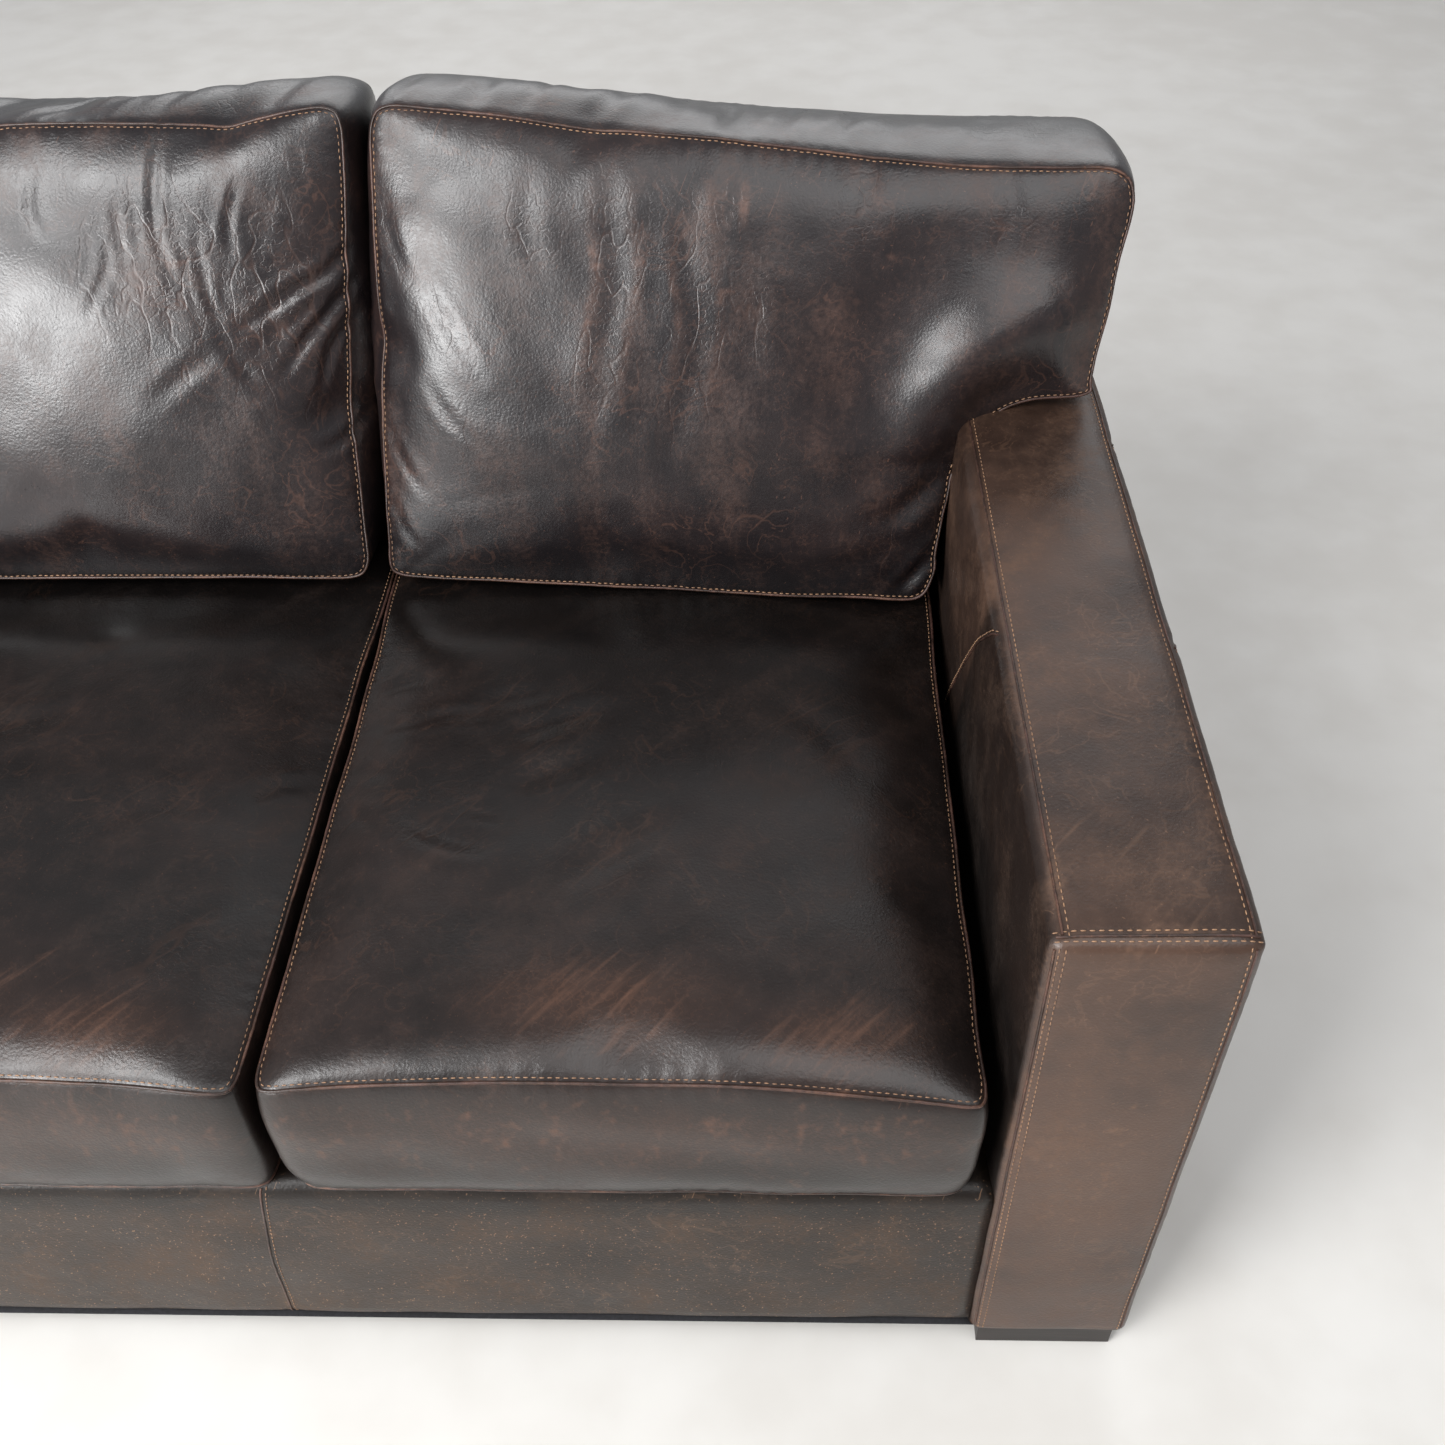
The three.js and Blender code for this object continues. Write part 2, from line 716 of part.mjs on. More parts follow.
function seatTopAt(y) {
  const v = (2 * y - seatY[0] - seatY[1]) / (seatY[1] - seatY[0]);
  return seatBottom + seatCushionThickness + seatCrownAt(0, v);
}

function seatCushionGeometry(width, depth) {
  const { across, deep, high } = seatSegments;
  const block = new THREE.BoxGeometry(width, depth, seatCushionThickness, across, deep, high);
  const place = block.attributes.position;
  for (let i = 0; i < place.count; i += 1) {
    const u = place.getX(i) / (width / 2);
    const v = place.getY(i) / (depth / 2);
    const w = place.getZ(i) / (seatCushionThickness / 2);
    const inset = seatEdgeInset * (1 - Math.sqrt(Math.max(0, 1 - w * w)));
    const lift = Math.max(0, w) * seatCrownAt(u, v);
    place.setX(i, u * (width / 2 - inset));
    place.setY(i, v * (depth / 2 - inset));
    place.setZ(i, w * (seatCushionThickness / 2) + lift);
  }
  return block;
}

function buildSeatCushions(parent) {
  const geometry = seatCushionGeometry(seatWidth - 2 * cushionGap, seatY[1] - seatY[0]);
  seatNames.forEach((name, i) => {
    const x = (i - (seatNames.length - 1) / 2) * seatWidth;
    const place = [x, (seatY[0] + seatY[1]) / 2, seatBottom + seatCushionThickness / 2];
    add(parent, `seat_cushion_${name}`, geometry.clone(), finishes.seatLeather, place);
  });
}

// Back cushions: they stand on the seats, lean on the inside back, and the outer two reach over the arms
function backCushionGeometry(ear) {
  const rear = (height) => backFaceY(-contactGap, height);
  const through = backCushionThickness / Math.cos(backRake);
  const heel = rear(deckHeight + seatCushionThickness) - through + backHeelSetback;
  const bottom = seatTopAt(heel) + contactGap;
  const side = roundedPolygon(
    [
      [rear(bottom) - through, bottom],
      [rear(bottom), bottom],
      [rear(backCushionTop), backCushionTop],
      [rear(backCushionTop) - through, backCushionTop],
    ],
    backCornerLength,
  );
  const half = seatWidth / 2 - cushionGap;
  const reach = half + armWidth;
  const shelf = armHeight + contactGap;
  const plain = [[-half, bottom], [half, bottom], [half, backCushionTop], [-half, backCushionTop]];
  const eared = [
    [-half, bottom],
    [half, bottom],
    [half, shelf, "sharp"],
    [reach, shelf],
    [reach, backCushionTop],
    [-half, backCushionTop],
  ];
  const mirrored = eared.map(([x, ...rest]) => [-x, ...rest]).reverse();
  const outlines = { none: plain, right: eared, left: mirrored };
  const front = roundedPolygon(outlines[ear], backCornerLength);
  return common(alongX(side, spread(reach), cushionSegments), alongY(front, [frontY, rearY], cushionSegments));
}

function buildBackCushions(parent) {
  seatNames.forEach((name, i) => {
    const place = i - (seatNames.length - 1) / 2;
    const ends = { 0: "left", [seatNames.length - 1]: "right" };
    const geometry = backCushionGeometry(ends[i] ?? "none");
    add(parent, `back_cushion_${name}`, geometry, finishes.backLeather, [place * seatWidth, 0, 0]);
  });
}

const frame = group(sofa);
buildSeatFrame(frame);
buildBackFrame(frame);
buildWebbing(frame);
buildSprings(frame);
for (const side of sides) buildArm(sofa, side);
buildLegs(sofa);
const covers = group(sofa);
buildBaseFront(covers);
buildDeck(covers);
buildBackCovers(covers);
buildDustCloth(covers);
const cushions = group(sofa);
buildSeatCushions(cushions);
buildBackCushions(cushions);

export default sofa;
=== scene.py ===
"""Looks of a worn three-seat leather sofa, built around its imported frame.

Lengths in the classes are millimetres, and meshes are written in metres.
"""

import json
import logging
import math
from dataclasses import dataclass, field
from enum import Enum

import bmesh
import bpy
import numpy as np
from mathutils import Matrix, Vector
from mathutils.bvhtree import BVHTree
from mathutils.kdtree import KDTree


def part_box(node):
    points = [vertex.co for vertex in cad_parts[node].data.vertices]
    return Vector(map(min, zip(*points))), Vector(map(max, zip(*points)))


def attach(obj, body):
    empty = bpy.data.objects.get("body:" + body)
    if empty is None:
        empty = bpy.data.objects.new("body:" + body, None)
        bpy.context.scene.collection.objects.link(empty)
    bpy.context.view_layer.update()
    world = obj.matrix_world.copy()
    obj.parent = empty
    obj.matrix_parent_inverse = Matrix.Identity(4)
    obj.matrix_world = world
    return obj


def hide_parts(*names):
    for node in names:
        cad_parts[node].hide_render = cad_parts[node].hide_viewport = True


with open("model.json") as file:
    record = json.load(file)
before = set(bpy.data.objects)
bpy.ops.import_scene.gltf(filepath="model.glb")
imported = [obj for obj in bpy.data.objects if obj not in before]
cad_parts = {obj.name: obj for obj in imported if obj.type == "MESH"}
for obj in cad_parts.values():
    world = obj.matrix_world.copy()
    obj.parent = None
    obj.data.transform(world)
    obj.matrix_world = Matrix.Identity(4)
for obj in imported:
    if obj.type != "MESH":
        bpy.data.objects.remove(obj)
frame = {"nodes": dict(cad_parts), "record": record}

log = logging.getLogger("sofa")

MM = 0.001
BODY = "root"
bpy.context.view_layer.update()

Triple = tuple[float, float, float]
Colour = tuple[float, float, float, float]
Socket = bpy.types.NodeSocket
Value = Socket | float

# Values that the leather reads from its mesh. Below nought the tone is painted shade as well as deeper dye,
# and the wear also holds a painted highlight behind the seats' front seam
MESH_VALUES = ("wear", "tone", "crease")

# Sizes shared with the frame
INNER_HALF = 915.0
OUTER_HALF = 1067.0
FRONT_Y = -520.0
REAR_Y = 520.0
ARM_TOP = 640.0
HEM_Z = 45.0
DECK_Z = 288.0
BASE_FRONT_Y = -514.0
BACK_RAKE = math.tan(math.radians(16.0))
BACK_TOP_Y = 368.0
SEAT_LINE_X = INNER_HALF / 3


class Side(Enum):
    """Which end of the sofa a piece is for, seen from the front."""

    LEFT = -1
    RIGHT = 1


# Small numeric helpers


def smooth(x: np.ndarray, low: float, high: float) -> np.ndarray:
    """Return a smooth step from 0 at low to 1 at high."""
    t = np.clip((x - low) / (high - low), 0.0, 1.0)
    return t * t * (3 - 2 * t)


def inside_back_y(z: np.ndarray) -> np.ndarray:
    """Return the depth of the inside back's leather at a height."""
    return BACK_TOP_Y + (z - ARM_TOP) * BACK_RAKE


def ripple(points: np.ndarray, wavelength: float, seed: int, waves: int = 9) -> np.ndarray:
    """Return a smooth random height between about -1 and 1 at each point.

    Args:
        points: Places in millimetres, one row each.
        wavelength: The typical distance between two rises.
        seed: Makes each piece's pattern its own.
        waves: How many waves are added up.

    Returns:
        One height for each point.
    """
    rng = np.random.default_rng(seed)
    total = np.zeros(len(points))
    for _ in range(waves):
        way = rng.normal(size=3)
        way /= np.linalg.norm(way)
        length = wavelength * rng.uniform(0.7, 1.6)
        total += np.sin(points @ way * (2 * math.pi / length) + rng.uniform(0, 2 * math.pi))
    return total / math.sqrt(waves) / 1.3


def linear(code: str) -> Colour:
    """Return an sRGB hex colour as linear red, green, blue and alpha."""
    parts = [int(code[i : i + 2], 16) / 255 for i in (1, 3, 5)]
    bent = [c / 12.92 if c <= 0.04045 else ((c + 0.055) / 1.055) ** 2.4 for c in parts]
    return (*bent, 1.0)


# Materials


def add_node(tree: bpy.types.NodeTree, kind: str, links: dict | None = None, **settings) -> bpy.types.Node:
    """Add a node to a tree.

    Args:
        tree: The tree that gets the node.
        kind: The node's type name.
        links: Input name or index to an output socket that feeds it, or to a plain value.
        **settings: Properties of the node.

    Returns:
        The new node.
    """
    node = tree.nodes.new(kind)
    for key, value in settings.items():
        setattr(node, key, value)
    for key, value in (links or {}).items():
        if isinstance(value, bpy.types.NodeSocket):
            tree.links.new(value, node.inputs[key])
        else:
            node.inputs[key].default_value = value
    return node


class MaterialTree:
    """A material's node tree, with a short call for each node that the finishes use."""

    def __init__(self, name: str) -> None:
        """Start an empty material with the place on the object as its only node."""
        self.material = bpy.data.materials.new(name)
        self.material.use_nodes = True
        self.tree = self.material.node_tree
        self.tree.nodes.clear()
        self.place = self.add("ShaderNodeTexCoord").outputs["Object"]

    def add(self, kind: str, links: dict | None = None, **settings) -> bpy.types.Node:
        """Add a node to this tree."""
        return add_node(self.tree, kind, links, **settings)

    def mapped(self, vector: Socket, **settings: Triple) -> Socket:
        """Return a place moved, turned or scaled."""
        return self.add("ShaderNodeMapping", {"Vector": vector, **settings}).outputs[0]

    def noise(self, vector: Socket, scale: float, detail: float, distortion: float = 0.0) -> Socket:
        """Return noise between 0 and 1 at a scale per metre."""
        links = {"Vector": vector, "Scale": scale, "Detail": detail, "Distortion": distortion}
        return self.add("ShaderNodeTexNoise", links).outputs["Fac"]

    def math(self, operation: str, first: Value, second: Value) -> Socket:
        """Return the result of a maths node."""
        return self.add("ShaderNodeMath", {0: first, 1: second}, operation=operation).outputs[0]

    def ramp(self, source: Socket, low: float, high: float, top: float = 1.0) -> Socket:
        """Return a value that rises from 0 to top while source goes from low to high."""
        links = {"Value": source, "From Min": low, "From Max": high, "To Min": 0.0, "To Max": top}
        return self.add("ShaderNodeMapRange", links, interpolation_type="SMOOTHSTEP").outputs["Result"]

    def mix(self, factor: Socket, first: Socket | Colour, second: Socket | Colour) -> Socket:
        """Return a colour that goes from first to second with factor."""
        return self.add("ShaderNodeMix", {0: factor, 6: first, 7: second}, data_type="RGBA").outputs[2]

    def bump(self, height: Socket, strength: float, distance: float) -> Socket:
        """Return normals bent by a height, with the distance in metres."""
        links = {"Height": height, "Strength": strength, "Distance": distance}
        return self.add("ShaderNodeBump", links).outputs["Normal"]

    def close(self, links: dict) -> bpy.types.Material:
        """Feed the surface shader, and return the finished material."""
        shader = self.add("ShaderNodeBsdfPrincipled", links)
        self.add("ShaderNodeOutputMaterial", {"Surface": shader.outputs[0]})
        return self.material


@dataclass(frozen=True)
class LeatherFinish:
    """Pull-up leather: aniline dye under wax, which lightens where it is stretched, rubbed or scratched.

    The tints say how far each pattern turns the dye towards the worn colour.
    """

    name: str
    deep: str
    mid: str
    worn: str
    roughness: float = 0.36
    cloud_mm: float = 210.0
    cloud_low: float = 0.36
    cloud_high: float = 0.72
    bloom_tint: float = 0.45
    vein_tint: float = 0.30
    scratch_tint: float = 0.45
    scratch_low: float = 0.73
    scuff_tint: float = 0.6
    crack_tint: float = 0.42
    crease_tint: float = 0.22
    fade: float = 0.35
    grain_mm: float = 2.6
    coat: float = 0.02
    ior: float = 1.5
    smear_turn: Triple = (0.0, 0.0, -0.85)
    smear_scale: Triple = (0.3, 1.0, 0.6)
    offset: Triple = (0.0, 0.0, 0.0)

    def build(self) -> bpy.types.Material:
        """Return the leather as a node material."""
        return LeatherTree(self).dress()


class LeatherTree(MaterialTree):
    """The nodes of one leather finish. Its patterns are sized in millimetres of hide."""

    HAZE_MM = 55.0
    PATCH_MM = 110.0
    VEIN_MM = 46.0
    HAIRLINE_MM = 15.0
    SMEAR_MM = 24.0
    STREAK_MM = 6.5
    CRACK_MM = 9.0
    CREASE_MM = 34.0
    FINE_CREASE_MM = 12.0
    SWELL_MM = 21.0
    SCRATCH_WIDTH_MM = 2.4
    SCRATCH_RUNS = (((0.35, 0.5, 0.9), 190.0), ((-0.4, 0.9, 2.2), 150.0))
    GRAIN_DEPTH = 0.0011

    def __init__(self, finish: LeatherFinish) -> None:
        """Start with the place on the hide and the values that the mesh carries."""
        super().__init__(finish.name)
        self.finish = finish
        self.worn = linear(finish.worn)
        self.place = self.mapped(self.place, Location=finish.offset)
        turned = self.mapped(self.place, Rotation=finish.smear_turn)
        self.smear_place = self.mapped(turned, Scale=finish.smear_scale)
        self.wear, self.tone, self.creased = (
            self.add("ShaderNodeAttribute", attribute_name=label).outputs["Fac"] for label in MESH_VALUES
        )
        self.mottle = self.hide_noise(finish.cloud_mm * 0.14, 4.0)

    def hide_noise(self, size_mm: float, detail: float, distortion: float = 0.0,
                   vector: Socket | None = None) -> Socket:
        """Return noise with patches about size_mm wide."""
        return self.noise(vector or self.place, 1 / (size_mm * MM), detail, distortion)

    def ridge(self, value: Socket, width: float) -> Socket:
        """Return thin lines where a noise crosses its middle."""
        away = self.math("ABSOLUTE", self.math("SUBTRACT", value, 0.5), 0.0)
        return self.math("SUBTRACT", 1.0, self.ramp(away, 0.0, width))

    def stain(self, colour: Socket, mask: Socket, amount: float) -> Socket:
        """Return the colour turned towards the worn one under a mask."""
        return self.mix(self.math("MULTIPLY", mask, amount), colour, self.worn)

    def dye(self) -> Socket:
        """Return the dye, which drifts in clouds a hand or two across, with finer mottling in them, and
        follows the mesh's tone: lighter where it is raised, deeper where it holds painted shade.
        """
        finish = self.finish
        centred = self.math("SUBTRACT", self.mottle, 0.5)
        cloud = self.hide_noise(finish.cloud_mm, 3.0, 0.8)
        blend = self.math("ADD", cloud, self.math("MULTIPLY", centred, 0.55))
        blend = self.math("ADD", blend, self.math("MULTIPLY", self.tone, 0.34))
        clouds = self.ramp(blend, finish.cloud_low, finish.cloud_high)
        return self.mix(clouds, linear(finish.deep), linear(finish.mid))

    def blooms(self) -> Socket:
        """Return the hazy blooms where the wax has gone from the high grain, along the hide's stretch."""
        broken = self.math("ADD", self.math("MULTIPLY", self.hide_noise(5.0, 2.0), 0.7), 0.65)
        haze = self.math("MULTIPLY", self.hide_noise(self.HAZE_MM, 3.0, vector=self.smear_place), broken)
        return self.ramp(haze, 0.46, 0.82)

    def veins(self) -> Socket:
        """Return light hairlines that wander through some patches only."""
        patch = self.ramp(self.hide_noise(self.PATCH_MM, 2.0), 0.46, 0.64)
        vein = self.math("MULTIPLY", self.ridge(self.hide_noise(self.VEIN_MM, 3.0, 0.9), 0.020), patch)
        fine_patch = self.ramp(self.mottle, 0.47, 0.62)
        thin = self.math("MULTIPLY", self.ridge(self.hide_noise(self.HAIRLINE_MM, 3.0), 0.034), fine_patch)
        return self.math("MAXIMUM", vein, self.math("MULTIPLY", thin, 0.6))

    def scratches(self) -> Socket:
        """Return long, hair-thin scratches in two directions."""
        low, across = self.finish.scratch_low, 1 / (self.SCRATCH_WIDTH_MM * MM)
        found = []
        for turn, length_mm in self.SCRATCH_RUNS:
            spun = self.mapped(self.place, Rotation=turn)
            spun = self.mapped(spun, Scale=(1 / (length_mm * MM), across, across))
            found.append(self.ramp(self.noise(spun, 1.0, 1.0), low, low + 0.06))
        return self.math("MAXIMUM", *found)

    def scuffs(self) -> Socket:
        """Return the smears and streaks that break up the rubbed zones."""
        stretched = self.mapped(self.smear_place, Scale=(0.28, 1.0, 1.0))
        smear = self.math("MULTIPLY", self.hide_noise(self.SMEAR_MM, 3.0, vector=self.smear_place), 0.45)
        streak = self.math("MULTIPLY", self.hide_noise(self.STREAK_MM, 2.0, vector=stretched), 0.55)
        rubbed = self.math("ADD", self.math("ADD", smear, streak), self.math("MULTIPLY", self.wear, 0.42))
        return self.ramp(rubbed, 0.70, 0.98)

    def cracks(self) -> Socket:
        """Return the net of fine cracks in the wax of rubbed zones."""
        net = self.ridge(self.hide_noise(self.CRACK_MM, 2.0), 0.05)
        return self.math("MULTIPLY", net, self.ramp(self.wear, 0.25, 0.9))

    def creases(self) -> Socket:
        """Return creases too fine for the mesh, where the hide is crumpled beside a fold or a seam."""
        wide = self.ridge(self.hide_noise(self.CREASE_MM, 2.0, vector=self.smear_place), 0.030)
        fine = self.math("MULTIPLY", self.ridge(self.hide_noise(self.FINE_CREASE_MM, 2.0), 0.045), 0.5)
        return self.math("MULTIPLY", self.math("MAXIMUM", wide, fine), self.creased)

    def relief(self, crease: Socket) -> Socket:
        """Return the hide's normals: grain drawn a little coarser than it is, soft swells and creases."""
        pebble = self.math("MULTIPLY", self.hide_noise(self.finish.grain_mm, 2.0), 0.42)
        height = self.math("SUBTRACT", pebble, self.math("MULTIPLY", crease, 0.65))
        height = self.math("ADD", height, self.math("MULTIPLY", self.hide_noise(self.SWELL_MM, 1.0), 0.42))
        return self.bump(height, 0.6, self.GRAIN_DEPTH)

    def dress(self) -> bpy.types.Material:
        """Lay the patterns over the dye, and return the finished material."""
        finish = self.finish
        bloom, scuff, crease = self.blooms(), self.scuffs(), self.creases()
        colour = self.stain(self.dye(), bloom, finish.bloom_tint)
        colour = self.stain(colour, self.veins(), finish.vein_tint)
        colour = self.stain(colour, self.scratches(), finish.scratch_tint)
        colour = self.mix(self.ramp(self.wear, 0.25, 0.95, finish.fade), colour, self.worn)
        colour = self.stain(colour, scuff, finish.scuff_tint)
        colour = self.stain(colour, self.cracks(), finish.crack_tint)
        colour = self.stain(colour, crease, finish.crease_tint)
        # Painted shade, and the deeper dye of some pieces, where the tone is below nought: the colour is
        # darkened towards black
        painted_shade_and_deep_dye = self.math("MAXIMUM", self.math("MULTIPLY", self.tone, -1.0), 0.0)
        colour = self.mix(self.math("MULTIPLY", painted_shade_and_deep_dye, 0.85), colour, (0.0, 0.0, 0.0, 1.0))
        rough = self.math("ADD", self.math("MULTIPLY", self.mottle, 0.20), finish.roughness - 0.12)
        rough = self.math("ADD", rough, self.math("MULTIPLY", self.math("MAXIMUM", scuff, bloom), 0.12))
        return self.close({
            "Base Color": colour, "Roughness": rough, "Normal": self.relief(crease), "IOR": finish.ior,
            "Coat Weight": finish.coat, "Coat Roughness": 0.28,
        })


@dataclass(frozen=True)
class PlainFinish:
    """Timber, steel, foam, webbing, thread and cloth: two tones in a grain that has a direction."""

    name: str
    dark: str
    light: str
    roughness: float
    grain_mm: Triple
    metallic: float = 0.0
    bump: float = 0.25

    def build(self) -> bpy.types.Material:
        """Return the finish as a node material."""
        nodes = MaterialTree(self.name)
        grain_place = nodes.mapped(nodes.place, Scale=tuple(1 / (size * MM) for size in self.grain_mm))
        grain = nodes.noise(grain_place, 1.0, 5.0, 0.5)
        drift = nodes.noise(nodes.place, 9.0, 3.0)
        blend = nodes.math("MULTIPLY", nodes.math("ADD", grain, drift), 0.5)
        return nodes.close({
            "Base Color": nodes.mix(nodes.ramp(blend, 0.34, 0.66), linear(self.dark), linear(self.light)),
            "Roughness": nodes.math("ADD", nodes.math("MULTIPLY", drift, 0.16), self.roughness - 0.08),
            "Normal": nodes.bump(grain, self.bump, 0.0006),
            "Metallic": self.metallic,
        })


class Workshop:
    """Keeps each material once, by name."""

    def __init__(self) -> None:
        """Start with no material made."""
        self.made: dict[str, bpy.types.Material] = {}

    def get(self, finish: LeatherFinish | PlainFinish) -> bpy.types.Material:
        """Return the finish's material, made on first use."""
        if finish.name not in self.made:
            self.made[finish.name] = finish.build()
        return self.made[finish.name]


SEAT_LEATHER = LeatherFinish(
    "pull_up_leather_seat", "#14100f", "#251b18", "#5f4233", roughness=0.35, cloud_low=0.30, cloud_high=1.0,
    bloom_tint=0.07, vein_tint=0.12, scratch_tint=0.3, scuff_tint=0.7, fade=0.36, coat=0.10,
)
BACK_LEATHER = LeatherFinish(
    "pull_up_leather_back", "#161214", "#2a201f", "#66483b", roughness=0.33, offset=(3.1, 0.4, 1.7),
    cloud_low=0.26, cloud_high=0.98, bloom_tint=0.20, vein_tint=0.24, scratch_tint=0.42, scuff_tint=0.6,
    smear_turn=(0.0, 0.0, 0.0), smear_scale=(1.0, 1.0, 0.28), coat=0.2,
)
ARM_LEATHER = LeatherFinish(
    "pull_up_leather_arm", "#2b1e18", "#473328", "#7d5e49", roughness=0.43, offset=(0.7, 5.2, 0.3),
    cloud_low=0.28, cloud_high=0.80, bloom_tint=0.25, vein_tint=0.16, scratch_tint=0.35, scuff_tint=0.5,
)
BASE_LEATHER = LeatherFinish(
    "pull_up_leather_base", "#201813", "#30251d", "#84664f", roughness=0.42, offset=(2.2, 1.9, 4.4),
    cloud_low=0.28, cloud_high=0.80, bloom_tint=0.14, vein_tint=0.16, scratch_tint=0.8, scratch_low=0.70,
    scuff_tint=0.45, ior=1.38,
)
OUTER_LEATHER = LeatherFinish(
    "pull_up_leather_outer", "#231914", "#3a2a22", "#715341", roughness=0.42, offset=(6.2, 3.3, 1.4),
    cloud_low=0.28, cloud_high=0.80, bloom_tint=0.2, vein_tint=0.16, scratch_tint=0.35, scuff_tint=0.4,
)
SEAM_LEATHER = LeatherFinish(
    "pull_up_leather_seam_edge", "#2a1c16", "#46302a", "#7d5845", roughness=0.45, cloud_mm=60.0,
    offset=(1.2, 2.3, 0.4),
)
THREAD = PlainFinish("waxed_nylon_thread", "#6d5240", "#a07c5e", 0.55, (1.2, 1.2, 1.2))
DARK_WOOD = PlainFinish("ebonised_hardwood", "#0f0b0a", "#241b18", 0.42, (60.0, 4.0, 4.0))
FRAME_TIMBER = PlainFinish("kiln_dried_poplar", "#9b7b4e", "#c9ac7d", 0.7, (160.0, 9.0, 9.0))
SPRING_STEEL = PlainFinish("drawn_spring_steel", "#4d4f52", "#7a7d80", 0.38, (4.0, 30.0, 4.0), metallic=1.0)
WEBBING = PlainFinish("jute_webbing", "#6f5836", "#a48a5d", 0.9, (5.0, 5.0, 2.4), bump=0.6)
FOAM = PlainFinish("polyurethane_foam", "#cfc39f", "#ece3c8", 0.95, (4.0, 4.0, 4.0), bump=0.5)
DECK_CLOTH = PlainFinish("platform_cloth", "#2a211c", "#463830", 0.9, (2.5, 2.5, 2.5), bump=0.5)
DUST_CLOTH = PlainFinish("spunbond_cambric", "#0e0e10", "#222226", 0.95, (3.0, 3.0, 3.0), bump=0.5)
CONCRETE = PlainFinish("pale_concrete", "#d0cdc8", "#d9d7d3", 0.7, (900.0, 900.0, 900.0), bump=0.05)


# Mesh building


SEAM_SHARPNESS = 0.55
MERGE_MM = 0.02
FULL_TURN = 6.28


def new_object(mesh: bpy.types.Mesh) -> bpy.types.Object:
    """Return a linked object with a mesh's name."""
    made = bpy.data.objects.new(mesh.name, mesh)
    bpy.context.scene.collection.objects.link(made)
    return made


def grid_quads(rows: int, columns: int) -> np.ndarray:
    """Return the quads of a grid of points that runs along its columns first."""
    corner = np.arange(rows * columns).reshape(rows, columns)
    quads = np.stack([corner[:-1, :-1], corner[:-1, 1:], corner[1:, 1:], corner[1:, :-1]], axis=-1)
    return quads.reshape(-1, 4)


@dataclass
class Sheet:
    """A quad mesh under construction, in millimetres."""

    points: np.ndarray
    quads: np.ndarray
    groups: dict[str, np.ndarray] = field(default_factory=dict)
    creased: list[tuple[int, int]] = field(default_factory=list)

    def to_object(self, name: str) -> bpy.types.Object:
        """Return the sheet as a linked Blender object in metres, with its vertex groups."""
        mesh = bpy.data.meshes.new(name)
        mesh.from_pydata((self.points * MM).tolist(), [], self.quads.tolist())
        mesh.update()
        made = new_object(mesh)
        for label, weights in self.groups.items():
            group = made.vertex_groups.new(name=label)
            for weight in np.unique(weights):
                if weight > 0:
                    group.add(np.flatnonzero(weights == weight).tolist(), float(weight), "REPLACE")
        if self.creased:
            wanted = {tuple(sorted(pair)) for pair in self.creased}
            crease = mesh.attributes.new("crease_edge", "FLOAT", "EDGE")
            values = [SEAM_SHARPNESS if tuple(sorted(e)) in wanted else 0.0 for e in edge_ends(mesh).tolist()]
            crease.data.foreach_set("value", values)
        return made


def vertex_vectors(made: bpy.types.Object, label: str) -> np.ndarray:
    """Return a vector of each vertex, such as its place in metres or its normal."""
    flat = np.empty(len(made.data.vertices) * 3, np.float32)
    made.data.vertices.foreach_get(label, flat)
    return flat.reshape(-1, 3).astype(float)


def mesh_points(made: bpy.types.Object) -> np.ndarray:
    """Return an object's vertices in millimetres."""
    return vertex_vectors(made, "co") / MM


def edge_ends(mesh: bpy.types.Mesh) -> np.ndarray:
    """Return the two vertices of each edge."""
    ends = np.empty(len(mesh.edges) * 2, np.int32)
    mesh.edges.foreach_get("vertices", ends)
    return ends.reshape(-1, 2)


def write_points(made: bpy.types.Object, points: np.ndarray) -> None:
    """Write vertices in millimetres back to an object."""
    made.data.vertices.foreach_set("co", (points * MM).astype(np.float32).ravel())
    made.data.update()


def group_weights(made: bpy.types.Object, label: str) -> np.ndarray:
    """Return a vertex group's weight at each vertex."""
    index = made.vertex_groups[label].index
    found = np.zeros(len(made.data.vertices))
    for vertex in made.data.vertices:
        for entry in vertex.groups:
            if entry.group == index:
                found[vertex.index] = entry.weight
    return found


def bake_modifiers(made: bpy.types.Object) -> None:
    """Turn an object's modifiers into plain mesh."""
    graph = bpy.context.evaluated_depsgraph_get()
    evaluated = made.evaluated_get(graph)
    mesh = bpy.data.meshes.new_from_object(evaluated, preserve_all_data_layers=True, depsgraph=graph)
    made.modifiers.clear()
    old = made.data
    made.data = mesh
    mesh.name = made.name
    bpy.data.meshes.remove(old)


def shade_smooth(made: bpy.types.Object) -> None:
    """Make every face of an object smooth."""
    made.data.polygons.foreach_set("use_smooth", [True] * len(made.data.polygons))
    made.data.update()


def set_values(made: bpy.types.Object, label: str, values: np.ndarray) -> None:
    """Store one number at each vertex under a label that the leather reads."""
    layer = made.data.attributes.get(label) or made.data.attributes.new(label, "FLOAT", "POINT")
    layer.data.foreach_set("value", np.clip(values, -1, 1).astype(np.float32))


def dress(made: bpy.types.Object, material: bpy.types.Material) -> None:
    """Give an object one material."""
    made.data.materials.clear()
    made.data.materials.append(material)


def bell(gap: np.ndarray, width: float) -> np.ndarray:
    """Return 1 on a line, falling off to nothing at about twice the width."""
    return np.exp(-((gap / width) ** 2))


def soft_edge(away: np.ndarray) -> np.ndarray:
    """Return a zone's strength: 1 in its middle, a fifth at its reach and nothing far outside."""
    return np.exp(-(away**2) * 1.6)


